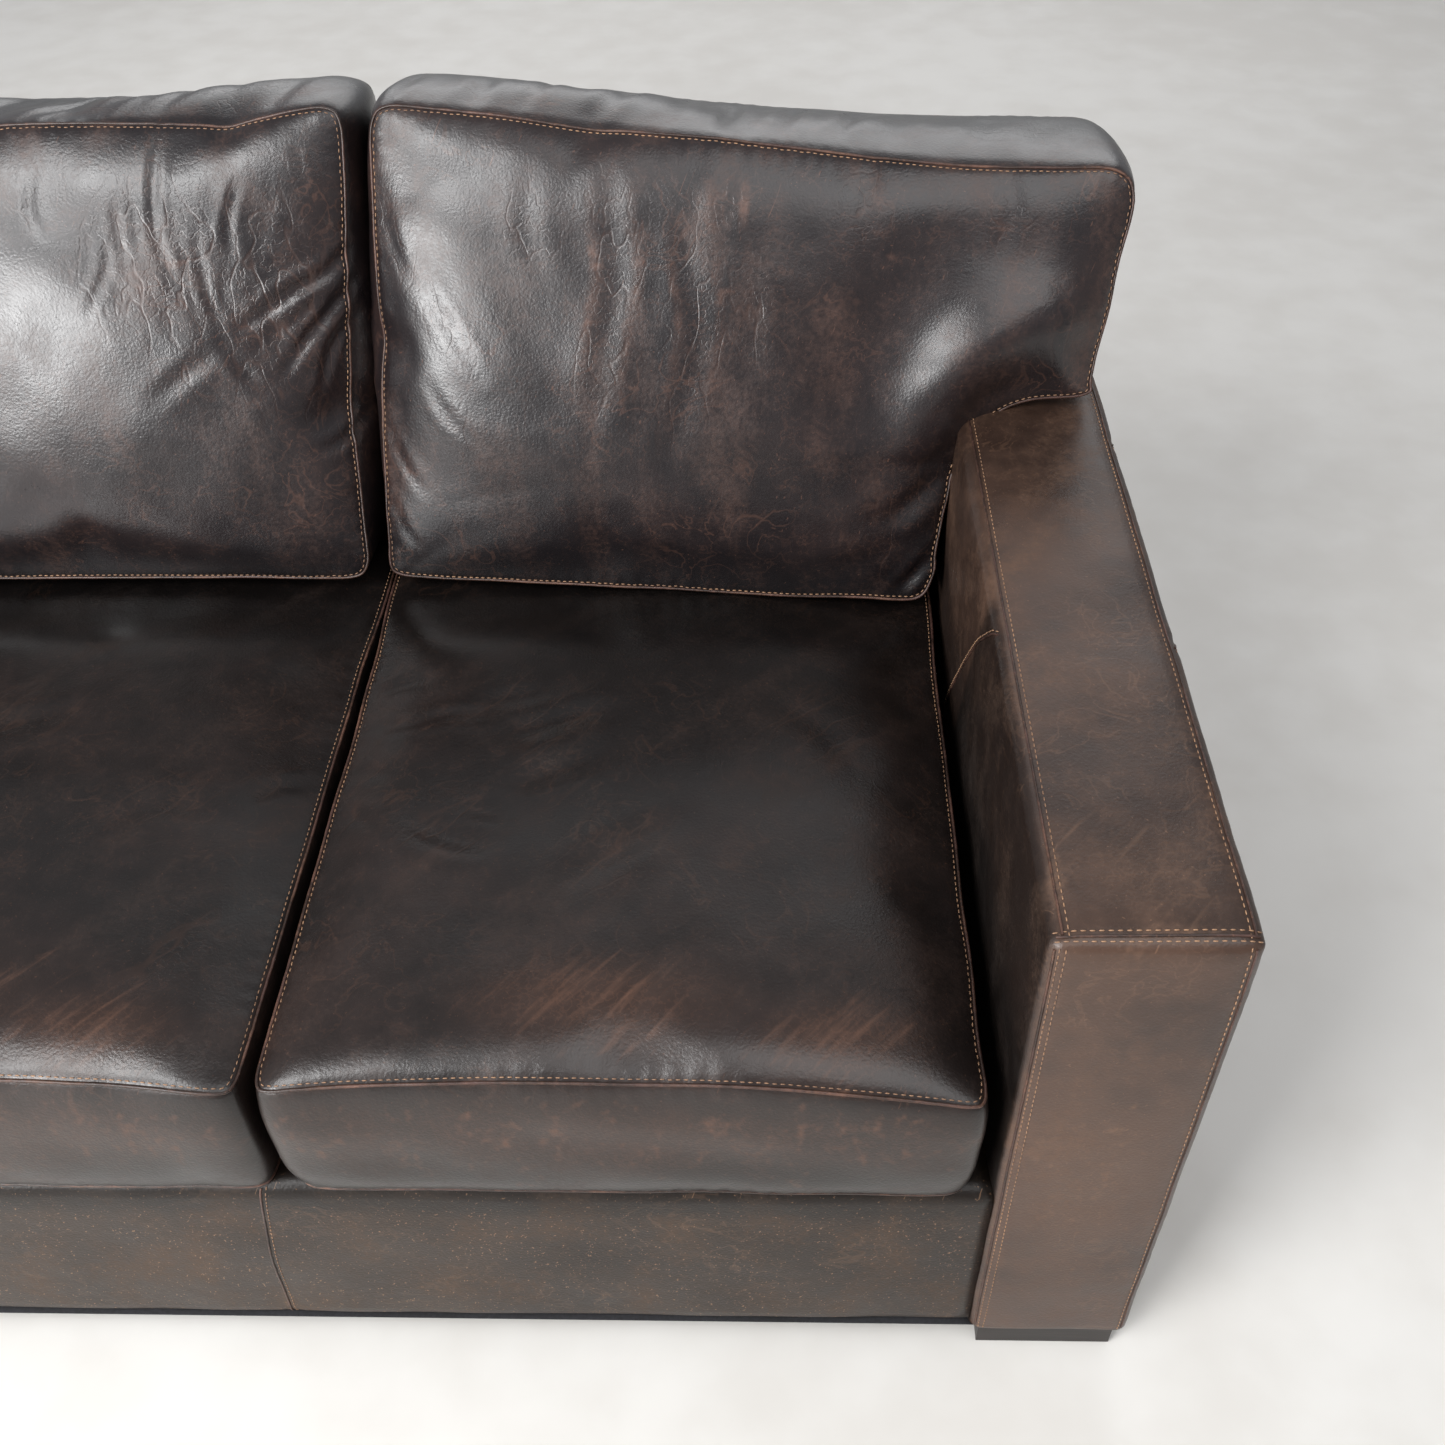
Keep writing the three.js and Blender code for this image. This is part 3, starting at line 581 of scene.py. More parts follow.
def resample(points: np.ndarray, step: float, closed: bool = False) -> np.ndarray:
    """Return points spaced evenly along a polyline.

    Args:
        points: The polyline's corners.
        step: The distance between two new points.
        closed: Whether the last corner joins the first.

    Returns:
        The new points, without a repeated last one on a closed line.
    """
    corners = np.vstack([points, points[:1]]) if closed else points
    lengths = np.linalg.norm(np.diff(corners, axis=0), axis=1)
    along = np.concatenate([[0], np.cumsum(lengths)])
    count = max(2, int(round(along[-1] / step)) + 1)
    places = np.linspace(0, along[-1], count)
    made = np.column_stack([np.interp(places, along, corners[:, k]) for k in range(corners.shape[1])])
    return made[:-1] if closed else made


def smooth_path(corners: list[tuple[float, ...]], step: float = 4.0) -> np.ndarray:
    """Return a curved path through given corners."""
    points = np.array(corners, float)
    if len(points) == 2:
        return resample(points, step)
    ends = np.vstack([2 * points[0] - points[1], points, 2 * points[-1] - points[-2]])
    spans = []
    t = np.linspace(0, 1, 12, endpoint=False)[:, None]
    for a, b, c, d in zip(ends, ends[1:], ends[2:], ends[3:]):
        square, cube = 2 * a - 5 * b + 4 * c - d, 3 * b - a - 3 * c + d
        spans.append(0.5 * (2 * b + (c - a) * t + square * t**2 + cube * t**3))
    return resample(np.vstack([*spans, points[-1:]]), step)


def rounded_corner(before: np.ndarray, here: np.ndarray, after: np.ndarray, radius: float, most: float,
                   count: int) -> list[np.ndarray]:
    """Return points of a curve that cuts a corner.

    Args:
        before: The corner before.
        here: The corner that is cut.
        after: The corner after.
        radius: How far from the corner the curve starts and ends.
        most: The largest share of a side that it takes.
        count: How many points it has.

    Returns:
        The points in order.
    """
    first, last = (
        here + (end - here) * min(most, radius / np.linalg.norm(end - here)) for end in (before, after)
    )
    t = np.linspace(0, 1, count)[:, None]
    return list((1 - t) ** 2 * first + 2 * t * (1 - t) * here + t**2 * last)


class Leatherwork:
    """Presses seams and folds into a fine mesh, and keeps its surface for what is sewn on it."""

    STEP = 2.0
    SEAM_REACH = 42.0
    VALLEY_WIDTH = 5.0
    PUCKER_PITCH = 19.0
    PUCKER_REACH = 15.0
    RUB_REACH = 7.0
    SEAM_WEAR = 0.6

    def __init__(self, made: bpy.types.Object) -> None:
        """Take a fine mesh whose shape is ready for detail."""
        self.made = made
        self.points = mesh_points(made)
        self.wear, self.tone, self.crease = (np.zeros(len(self.points)) for _ in MESH_VALUES)

    def normals(self) -> np.ndarray:
        """Return normals of the points as they are now."""
        write_points(self.made, self.points)
        return vertex_vectors(self.made, "normal")

    def raise_by(self, height: np.ndarray) -> None:
        """Move every point along its normal."""
        self.points += self.normals() * height[:, None]

    def zone(self, centre: Triple, radius: Triple) -> np.ndarray:
        """Return how far each point is from a zone's middle, as a share of its reach along X, Y and Z."""
        return np.linalg.norm((self.points - np.array(centre)) / np.array(radius), axis=1)

    def distances(self, line: np.ndarray, reach: float, closed: bool) -> tuple[np.ndarray, ...]:
        """Find the vertices near a line.

        Args:
            line: A polyline in millimetres.
            reach: How far from the line to look.
            closed: Whether the line is a loop.

        Returns:
            The vertices' indices, their distances, and how far along the line each lies.
        """
        dense = resample(line, self.STEP, closed)
        tree = KDTree(len(dense))
        for index, point in enumerate(dense):
            tree.insert(point, index)
        tree.balance()
        low, high = dense.min(0) - reach, dense.max(0) + reach
        near = np.flatnonzero(np.all((self.points > low) & (self.points < high), axis=1))
        found = [tree.find(self.points[index]) for index in near]
        gap = np.array([hit[2] for hit in found])
        along = np.array([hit[1] * self.STEP for hit in found])
        keep = gap < reach
        return near[keep], gap[keep], along[keep]

    def press_seam(self, line: np.ndarray, seed: int, closed: bool = False, depth: float = 1.8,
                   pucker: float = 0.7) -> None:
        """Sink a seam into the leather, with small puckers across it and rubbed edges beside it.

        Args:
            line: The seam's path.
            seed: Makes the puckers irregular in their own way.
            closed: Whether it is a loop.
            depth: How deep the stitching pulls the leather in.
            pucker: Height of the puckers.
        """
        near, gap, along = self.distances(line, self.SEAM_REACH, closed)
        rng = np.random.default_rng(seed)
        phase = along * (2 * math.pi / self.PUCKER_PITCH)
        wander = sum(np.sin(along / span + rng.uniform(0, FULL_TURN)) for span in (37.0, 83.0, 171.0))
        fold = np.sin(phase + 1.6 * wander) * (0.55 + 0.45 * np.sin(along / 61.0 + rng.uniform(0, FULL_TURN)))
        raised = pucker * fold * bell(gap, self.PUCKER_REACH) * smooth(gap, 0.0, 5.0)
        self.points[near] += self.normals()[near] * (-depth * bell(gap, self.VALLEY_WIDTH) + raised)[:, None]
        uneven = 0.75 + 0.25 * np.sin(along / 23.0 + rng.uniform(0, FULL_TURN))
        self.wear[near] = np.maximum(self.wear[near], self.SEAM_WEAR * np.exp(-gap / self.RUB_REACH) * uneven)

    def press_in(self, paths: tuple, facing: np.ndarray) -> None:
        """Press folds into the surface, each drawn in front of it and laid on it.

        Args:
            paths: For each fold its path, depth, half width, lip as a share of the depth, and wear. A depth
                below nought raises a swell.
            facing: The direction in which the surface faces.
        """
        surface = self.surface()
        ahead = Vector(facing) * 150.0
        for corners, depth, width, lip, wear in paths:
            line = smooth_path(corners)
            laid = [surface.ray_cast(Vector(point) + ahead, -ahead)[0] for point in line]
            laid = np.array([place for place in laid if place is not None])
            if len(laid) > 1:
                self.fold(laid, depth, width, lip, wear)

    def fold(self, line: np.ndarray, depth: float, width: float, lip: float, wear: float) -> None:
        """Press one crease into the leather, with a soft lip along both sides.

        Args:
            line: The crease's path on the surface.
            depth: How deep it is, or how high below nought.
            width: Half its width.
            lip: The lips' height as a share of the depth. A crease without lips gets no fine creases either.
            wear: How rubbed its lips are.
        """
        near, gap, along = self.distances(line, width * 3.6, False)
        share = along / max(1.0, (len(resample(line, self.STEP)) - 1) * self.STEP)
        taper = np.sin(np.clip(share, 0.02, 0.98) * math.pi) ** 0.6
        valley, rim = bell(gap, width), bell(gap - 1.8 * width, width)
        self.points[near] += self.normals()[near] * (depth * taper * (lip * rim - valley))[:, None]
        self.wear[near] = np.maximum(self.wear[near], wear * taper * np.maximum(rim, 0.5 * valley))
        if lip > 0:
            self.crease[near] = np.maximum(self.crease[near], 0.5 * taper * bell(gap, 3 * width))

    def crumple(self, centre: tuple, radius: tuple, size: float, depth: float, seed: int) -> None:
        """Crease a soft-edged zone into small facets.

        Args:
            centre: The zone's middle.
            radius: Its reach along X, Y and Z.
            size: The typical width of a facet.
            depth: How deep the creases between them are.
            seed: Makes the facets this zone's own.
        """
        away = self.zone(centre, radius)
        near = np.flatnonzero(away < 1.6)
        fade = soft_edge(away[near])
        spots = self.points[near]
        creases = 1 - abs(ripple(spots, size * 2.2, seed)) - 0.5 * abs(ripple(spots, size, seed + 1))
        self.points[near] -= self.normals()[near] * (depth * fade * np.clip(creases, 0, 1))[:, None]
        self.wear[near] = np.maximum(self.wear[near], 0.3 * fade * np.clip(creases, 0, 1))
        self.crease[near] = np.maximum(self.crease[near], fade)

    def rub(self, centre: Triple, radius: Triple, amount: float) -> None:
        """Wear a soft-edged zone of the leather."""
        self.wear = np.maximum(self.wear, amount * soft_edge(self.zone(centre, radius)))

    def dye(self, centre: Triple, radius: Triple, amount: float) -> None:
        """Change the tone in a soft-edged zone: above nought it lightens the dye, below nought it deepens the
        dye and paints shade.
        """
        self.tone += amount * soft_edge(self.zone(centre, radius))

    def finish(self, material: bpy.types.Material) -> None:
        """Write the shape and the wear, and dress the mesh."""
        write_points(self.made, self.points)
        for label, values in zip(MESH_VALUES, (self.wear, self.tone, self.crease)):
            set_values(self.made, label, values)
        dress(self.made, material)
        shade_smooth(self.made)

    def surface(self) -> BVHTree:
        """Return the surface as it is now, to lay lines on."""
        polygons = [tuple(p.vertices) for p in self.made.data.polygons]
        return BVHTree.FromPolygons([tuple(p) for p in self.points], polygons)


def lay_on(surface: BVHTree, line: np.ndarray, lift: float) -> np.ndarray:
    """Return a line moved to the nearest places on a surface, a little above it."""
    laid = []
    for point in line:
        place, normal, _, _ = surface.find_nearest(Vector(point))
        laid.append(np.array(place) + np.array(normal) * lift)
    return np.array(laid)


# Sewing: trees of geometry nodes that run along a path

Lines = list[np.ndarray]
Paths = list[tuple[np.ndarray, bool]]


class Sewing:
    """Thread and seam edges, made along paths by two geometry node trees."""

    STITCH_PITCH = 6.4
    STITCH_LENGTH = 4.6
    STITCH_WIDTH = 1.3

    def __init__(self, workshop: Workshop) -> None:
        """Build both trees."""
        self.workshop = workshop
        self.stitch_tree = self.build_stitch_tree()
        self.edge_tree = self.build_edge_tree()

    @staticmethod
    def start_tree(name: str, inputs: dict[str, tuple[str, float | None]]) -> bpy.types.NodeTree:
        """Return a new tree with a geometry input and output and the named inputs."""
        tree = bpy.data.node_groups.new(name, "GeometryNodeTree")
        tree.interface.new_socket("Geometry", in_out="INPUT", socket_type="NodeSocketGeometry")
        for label, (kind, value) in inputs.items():
            socket = tree.interface.new_socket(label, in_out="INPUT", socket_type=kind)
            if value is not None:
                socket.default_value = value
        tree.interface.new_socket("Geometry", in_out="OUTPUT", socket_type="NodeSocketGeometry")
        return tree

    @staticmethod
    def open_path(tree: bpy.types.NodeTree) -> tuple[bpy.types.NodeOutputs, Socket]:
        """Return a tree's inputs, and the path that it is given as a curve."""
        given = add_node(tree, "NodeGroupInput").outputs
        return given, add_node(tree, "GeometryNodeMeshToCurve", {"Mesh": given["Geometry"]}).outputs[0]

    @staticmethod
    def close_tree(tree: bpy.types.NodeTree, pieces: Socket, material: Socket) -> bpy.types.NodeTree:
        """End a tree with real meshes that carry a material, and return it."""
        real = add_node(tree, "GeometryNodeRealizeInstances", {"Geometry": pieces}).outputs[0]
        dress_links = {"Geometry": real, "Material": material}
        dressed = add_node(tree, "GeometryNodeSetMaterial", dress_links).outputs[0]
        add_node(tree, "NodeGroupOutput", {"Geometry": dressed})
        return tree

    def build_stitch_tree(self) -> bpy.types.NodeTree:
        """Return the tree that sets one stitch after another along a path."""
        number = "NodeSocketFloat"
        inputs = {"Pitch": (number, self.STITCH_PITCH * MM), "Length": (number, self.STITCH_LENGTH * MM),
                  "Width": (number, self.STITCH_WIDTH * MM), "Thread": ("NodeSocketMaterial", None)}
        tree = self.start_tree("stitch_row", inputs)
        given, path = self.open_path(tree)
        spaced_links = {"Curve": path, "Length": given["Pitch"]}
        spaced = add_node(tree, "GeometryNodeResampleCurve", spaced_links, mode="LENGTH").outputs[0]
        tangent = add_node(tree, "GeometryNodeInputTangent").outputs[0]
        turn = add_node(tree, "FunctionNodeAlignRotationToVector", {"Vector": tangent}, axis="Z").outputs[0]
        ball_links = {"Segments": 5, "Rings": 3, "Radius": 0.5}
        ball = add_node(tree, "GeometryNodeMeshUVSphere", ball_links).outputs[0]
        size_links = {"X": given["Width"], "Y": given["Width"], "Z": given["Length"]}
        size = add_node(tree, "ShaderNodeCombineXYZ", size_links).outputs[0]
        set_links = {"Points": spaced, "Instance": ball, "Rotation": turn, "Scale": size}
        row = add_node(tree, "GeometryNodeInstanceOnPoints", set_links).outputs[0]
        return self.close_tree(tree, row, given["Thread"])

    def build_edge_tree(self) -> bpy.types.NodeTree:
        """Return the tree that runs a round leather edge along a path."""
        inputs = {"Radius": ("NodeSocketFloat", 1.5 * MM), "Leather": ("NodeSocketMaterial", None)}
        tree = self.start_tree("seam_edge", inputs)
        given, path = self.open_path(tree)
        ring_links = {"Resolution": 5, "Radius": given["Radius"]}
        ring = add_node(tree, "GeometryNodeCurvePrimitiveCircle", ring_links).outputs[0]
        swept_links = {"Curve": path, "Profile Curve": ring, "Fill Caps": True}
        swept = add_node(tree, "GeometryNodeCurveToMesh", swept_links).outputs[0]
        return self.close_tree(tree, swept, given["Leather"])

    @staticmethod
    def run(name: str, tree: bpy.types.NodeTree, paths: Paths, **values) -> bpy.types.Object:
        """Run a tree along paths and keep the result as plain mesh.

        Args:
            name: The new piece's name.
            tree: One of the two trees.
            paths: Polylines in millimetres, each with whether it is a loop.
            **values: The tree's inputs by name.

        Returns:
            The new object.
        """
        points, edges, start = [], [], 0
        for line, closed in paths:
            count = len(line)
            points.append(line)
            edges += [(start + i, start + i + 1) for i in range(count - 1)]
            if closed:
                edges.append((start + count - 1, start))
            start += count
        mesh = bpy.data.meshes.new(name)
        mesh.from_pydata((np.vstack(points) * MM).tolist(), edges, [])
        made = new_object(mesh)
        modifier = made.modifiers.new("sewing", "NODES")
        modifier.node_group = tree
        for item in tree.interface.items_tree:
            if item.item_type == "SOCKET" and item.in_out == "INPUT" and item.name in values:
                modifier[item.identifier] = values[item.name]
        bake_modifiers(made)
        shade_smooth(made)
        return made

    def sew(self, slot: str, edge_name: str, edges: Paths, stitch_name: str, rows: Paths,
            radius: float = 1.1) -> None:
        """Run the turned leather edge of each seam and the rows of stitches beside it, and hand both over.

        Args:
            slot: The material slot of the leather that they are on.
            edge_name: The name of the piece that holds the edges.
            edges: Paths of the edges.
            stitch_name: The name of the piece that holds the stitches.
            rows: Paths of the rows.
            radius: The edge's radius.
        """
        leather, thread = self.workshop.get(SEAM_LEATHER), self.workshop.get(THREAD)
        hand_over(self.run(edge_name, self.edge_tree, edges, Leather=leather, Radius=radius * MM), slot)
        hand_over(self.run(stitch_name, self.stitch_tree, rows, Thread=thread), slot)


def hand_over(made: bpy.types.Object, slot: str, *nodes: str) -> None:
    """Attach a finished piece to its body, hide the frame nodes that it stands for, and log its faces."""
    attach(made, BODY)
    if nodes:
        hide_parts(*nodes)
    log.info("%s: %d faces", made.name, len(made.data.polygons))


# Box cushions

FILL_STEPS = 20
HIDE_CLOTH = {
    "quality": 6, "mass": 0.4, "tension_stiffness": 60, "compression_stiffness": 40, "shear_stiffness": 20,
    "bending_stiffness": 2.5, "use_pressure": True, "uniform_pressure_force": 4.0,
}


Place = tuple[int, int]


@dataclass(frozen=True)
class Corner:
    """A point of a cushion's outline, in the plane of its panel."""

    u: float
    v: float
    radius: float = 24.0
    lattice: bool = True


@dataclass
class CushionOutline:
    """A panel's outline with the grid that fills it.

    The grid is a rectangle of body columns and rows. With ear columns it also reaches past the body's far
    side, above the ear's first row.
    """

    corners: list[Corner]
    columns: int
    rows: int
    ear_columns: int = 0
    ear_row: int = 0

    def turns(self) -> list[Place]:
        """Return the grid's corners, counter-clockwise from the lower left."""
        wide, tall, ear, row = self.columns, self.rows, self.ear_columns, self.ear_row
        if ear == 0:
            return [(0, 0), (wide, 0), (wide, tall), (0, tall)]
        if ear > 0:
            return [(0, 0), (wide, 0), (wide, row), (wide + ear, row), (wide + ear, tall), (0, tall)]
        return [(0, 0), (wide, 0), (wide, tall), (ear, tall), (ear, row), (0, row)]

    def rim(self) -> list[Place]:
        """Return the grid places round the edge, in the same order."""
        turns = self.turns()
        places = []
        for (a, b), (c, d) in zip(turns, turns[1:] + turns[:1]):
            steps = max(abs(c - a), abs(d - b))
            places += [(a + (c - a) * k // steps, b + (d - b) * k // steps) for k in range(steps)]
        return places

    def curve(self) -> tuple[np.ndarray, list[int]]:
        """Return the rounded outline as dense points, and where its grid corners are."""
        points, marks = [], []
        places = [np.array([corner.u, corner.v]) for corner in self.corners]
        for k, (corner, here) in enumerate(zip(self.corners, places)):
            if corner.lattice:
                marks.append(len(points) + 6)
            after = places[(k + 1) % len(places)]
            points += rounded_corner(places[k - 1], here, after, corner.radius, 0.75, 13)
        return np.array(points), marks

    def rim_positions(self) -> dict[Place, list[float]]:
        """Return where each rim place lies, spaced evenly between the outline's grid corners."""
        rim = self.rim()
        outline, marks = self.curve()
        starts = [rim.index(turn) for turn in self.turns()]
        found = {}
        for k, start in enumerate(starts):
            count = (starts[(k + 1) % len(starts)] - start) % len(rim)
            a, b = marks[k], marks[(k + 1) % len(marks)]
            stretch = outline[a : b + 1] if b > a else np.vstack([outline[a:], outline[: b + 1]])
            lengths = np.concatenate([[0], np.cumsum(np.linalg.norm(np.diff(stretch, axis=0), axis=1))])
            for step in range(count):
                along = lengths[-1] * step / count
                found[rim[start + step]] = [np.interp(along, lengths, stretch[:, axis]) for axis in (0, 1)]
        return found

    def grid(self) -> tuple[dict[Place, int], np.ndarray, np.ndarray]:
        """Fill the outline with a smooth grid, each inner place in the middle of its four neighbours.

        Returns:
            Index of each grid place, the places' positions, and a swell from 0 at the rim to 1 inside.
        """
        columns = range(min(0, self.ear_columns), self.columns + max(0, self.ear_columns) + 1)
        body = range(self.columns + 1)
        places = [(a, b) for b in range(self.rows + 1) for a in columns if a in body or b >= self.ear_row]
        index = {place: k for k, place in enumerate(places)}
        position = np.zeros((len(index), 2))
        on_rim = self.rim_positions()
        for place, point in on_rim.items():
            position[index[place]] = point
        inner = {place: k for k, place in enumerate(place for place in places if place not in on_rim)}
        system = 4.0 * np.eye(len(inner))
        known = np.zeros((len(inner), 2))
        for (a, b), k in inner.items():
            for other in ((a + 1, b), (a - 1, b), (a, b + 1), (a, b - 1)):
                if other in inner:
                    system[k, inner[other]] = -1.0
                else:
                    known[k] += position[index[other]]
        solved = np.linalg.solve(system, np.column_stack([known, np.ones(len(inner))]))
        swell = np.zeros(len(index))
        for place, k in inner.items():
            position[index[place]] = solved[k, :2]
            swell[index[place]] = solved[k, 2]
        return index, position, swell / swell.max()


@dataclass
class BoxCushion:
    """A loose box cushion: a front panel, a border strip and a rear panel, sewn in two loops."""

    name: str
    outline: CushionOutline
    seed: int
    crown: float = 30.0
    rear_crown: float = 4.0
    swell_power: float = 0.85
    border_rows: int = 6
    cap: float = 14.0
    growth: float = 0.035

    def front(self, u: np.ndarray, v: np.ndarray) -> tuple[np.ndarray, np.ndarray]:
        """Return places and outward directions of the front panel at panel coordinates."""
        raise NotImplementedError

    def rear(self, u: np.ndarray, v: np.ndarray) -> tuple[np.ndarray, np.ndarray]:
        """Return places and outward directions of the rear panel at panel coordinates."""
        raise NotImplementedError

    def border_bulge(self, points: np.ndarray, outward: np.ndarray) -> np.ndarray:
        """Return how far the border strip bulges at its middle, for each place on the rim."""
        raise NotImplementedError

    def give(self, points: np.ndarray) -> np.ndarray:
        """Return how freely each vertex may move when the cushion is filled, from 0 to 1."""
        raise NotImplementedError

    def build_sheet(self) -> Sheet:
        """Return the closed cushion as a coarse quad mesh with its seams marked."""
        index, position, swell = self.outline.grid()
        count = len(index)
        body, way = self.front(position[:, 0], position[:, 1])
        front = body + way * (self.crown * swell**self.swell_power)[:, None]
        body, way = self.rear(position[:, 0], position[:, 1])
        rear = body + way * (self.rear_crown * swell**self.swell_power)[:, None]
        rim = [index[place] for place in self.outline.rim()]
        around = len(rim)
        edge = position[rim]
        tangent = np.roll(edge, -1, axis=0) - np.roll(edge, 1, axis=0)
        side = np.column_stack([tangent[:, 1], -tangent[:, 0]])
        side /= np.linalg.norm(side, axis=1)[:, None]
        ahead, _ = self.front(edge[:, 0] + side[:, 0], edge[:, 1] + side[:, 1])
        here, _ = self.front(edge[:, 0], edge[:, 1])
        outward = ahead - here
        outward /= np.linalg.norm(outward, axis=1)[:, None]
        bulge = self.border_bulge(front[rim], outward)
        points = [front, rear]
        for row in range(1, self.border_rows):
            t = row / self.border_rows
            curve = (1 - abs(2 * t - 1) ** 2.4) * bulge
            points.append(front[rim] * (1 - t) + rear[rim] * t + outward * curve[:, None])
        quads = []
        for (a, b), low in index.items():
            corners = [(a + 1, b), (a + 1, b + 1), (a, b + 1)]
            if all(place in index for place in corners):
                quad = [low] + [index[place] for place in corners]
                quads.append(quad)
                quads.append([count + k for k in reversed(quad)])
        starts = [2 * count + row * around for row in range(self.border_rows - 1)]
        rings = [rim, *[[start + k for k in range(around)] for start in starts], [count + k for k in rim]]
        for first, second in zip(rings, rings[1:]):
            for k in range(around):
                n = (k + 1) % around
                quads.append([first[k], second[k], second[n], first[n]])
        total = 2 * count + (self.border_rows - 1) * around
        groups = {name: np.zeros(total) for name in ("panel", "seam_front", "seam_rear", "rear_panel")}
        groups["panel"][:count] = 1.0
        groups["panel"][rim] = 0.5
        groups["rear_panel"][count : 2 * count] = 1.0
        groups["rear_panel"][rings[-1]] = 0.5
        groups["seam_front"][rim] = 1.0
        groups["seam_rear"][rings[-1]] = 1.0
        creased = [(ring[k], ring[(k + 1) % around]) for ring in (rings[0], rings[-1]) for k in range(around)]
        return Sheet(np.vstack(points), np.array(quads), groups, creased)

    def fill(self, made: bpy.types.Object) -> None:
        """Swell the cover with simulated cloth, and keep what the space round it allows."""
        start = mesh_points(made)
        modifier = made.modifiers.new("fill", "CLOTH")
        cloth = modifier.settings
        for label, value in HIDE_CLOTH.items():
            setattr(cloth, label, value)
        cloth.effector_weights.gravity = 0.0
        cloth.shrink_min = -self.growth
        modifier.collision_settings.use_collision = False
        scene = bpy.context.scene
        modifier.point_cache.frame_start = 1
        modifier.point_cache.frame_end = FILL_STEPS
        for step in range(1, FILL_STEPS + 1):
            scene.frame_set(step)
        bake_modifiers(made)
        scene.frame_set(1)
        move = mesh_points(made) - start
        length = np.linalg.norm(move, axis=1)
        limit = self.cap * self.give(start)
        share = limit * np.tanh(length / np.maximum(limit, 1e-6)) / np.maximum(length, 1e-6)
        write_points(made, start + move * share[:, None])

    def loops(self, made: bpy.types.Object, label: str, panel: str) -> tuple[np.ndarray, np.ndarray]:
        """Follow a seam round the refined mesh.

        Args:
            made: The refined cushion.
            label: The seam's vertex group.
            panel: The group of the panel that the seam borders.

        Returns:
            The seam's vertices in order, and the direction into the panel at each.
        """
        on_seam = group_weights(made, label) > 0.999
        weight = group_weights(made, panel)
        ends = edge_ends(made.data)
        both = on_seam[ends].all(axis=1)
        links: dict[int, list[int]] = {}
        for a, b in ends[both].tolist():
            links.setdefault(a, []).append(b)
            links.setdefault(b, []).append(a)
        start = min(links)
        order, last = [start], None
        while True:
            following = [k for k in links[order[-1]] if k != last]
            last = order[-1]
            if following[0] == start or len(order) > len(links):
                break
            order.append(following[0])
        points = mesh_points(made)
        place = {vertex: k for k, vertex in enumerate(order)}
        inward = np.zeros((len(order), 3))
        for a, b in ends[on_seam[ends].sum(axis=1) == 1].tolist():
            seam, other = (a, b) if a in place else (b, a)
            if seam in place and weight[other] > 0.5:
                inward[place[seam]] += points[other] - points[seam]
        for _ in range(6):
            inward = inward + 0.5 * (np.roll(inward, 1, axis=0) + np.roll(inward, -1, axis=0))
            inward /= np.maximum(np.linalg.norm(inward, axis=1), 1e-6)[:, None]
        return np.array(order), inward

    def detail(self, work: Leatherwork) -> None:
        """Press in the folds and wear that the photo shows on this cushion; the plain cushion presses in
        none.
        """

    def build(self, sewing: Sewing, leather: LeatherFinish, slot: str, fill: float) -> None:
        """Make the cushion, its seam edges and its stitches, and hand them over."""
        sheet = self.build_sheet()
        made = sheet.to_object(f"{self.name}_leather")
        self.fill(made)
        refine = made.modifiers.new("refine", "SUBSURF")
        refine.levels = refine.render_levels = 2
        bake_modifiers(made)
        front, inward = self.loops(made, "seam_front", "panel")
        rear, rear_inward = self.loops(made, "seam_rear", "rear_panel")
        work = Leatherwork(made)
        work.raise_by(0.9 * ripple(work.points, 90.0, self.seed))
        work.press_seam(work.points[front].copy(), self.seed, closed=True)
        work.press_seam(work.points[rear].copy(), self.seed + 5, closed=True)
        self.detail(work)
        work.finish(sewing.workshop.get(leather))
        surface = work.surface()
        rows, edges = [], []
        for loop, way in ((front, inward), (rear, rear_inward)):
            line = work.points[loop]
            edges.append((lay_on(surface, line, 0.4), True))
            rows.append((lay_on(surface, line + way * 4.2, 0.25), True))
        hand_over(made, slot, self.name)
        sewing.sew(slot, f"{self.name}_seam_edge", edges, f"{self.name}_stitching", rows, 1.5)


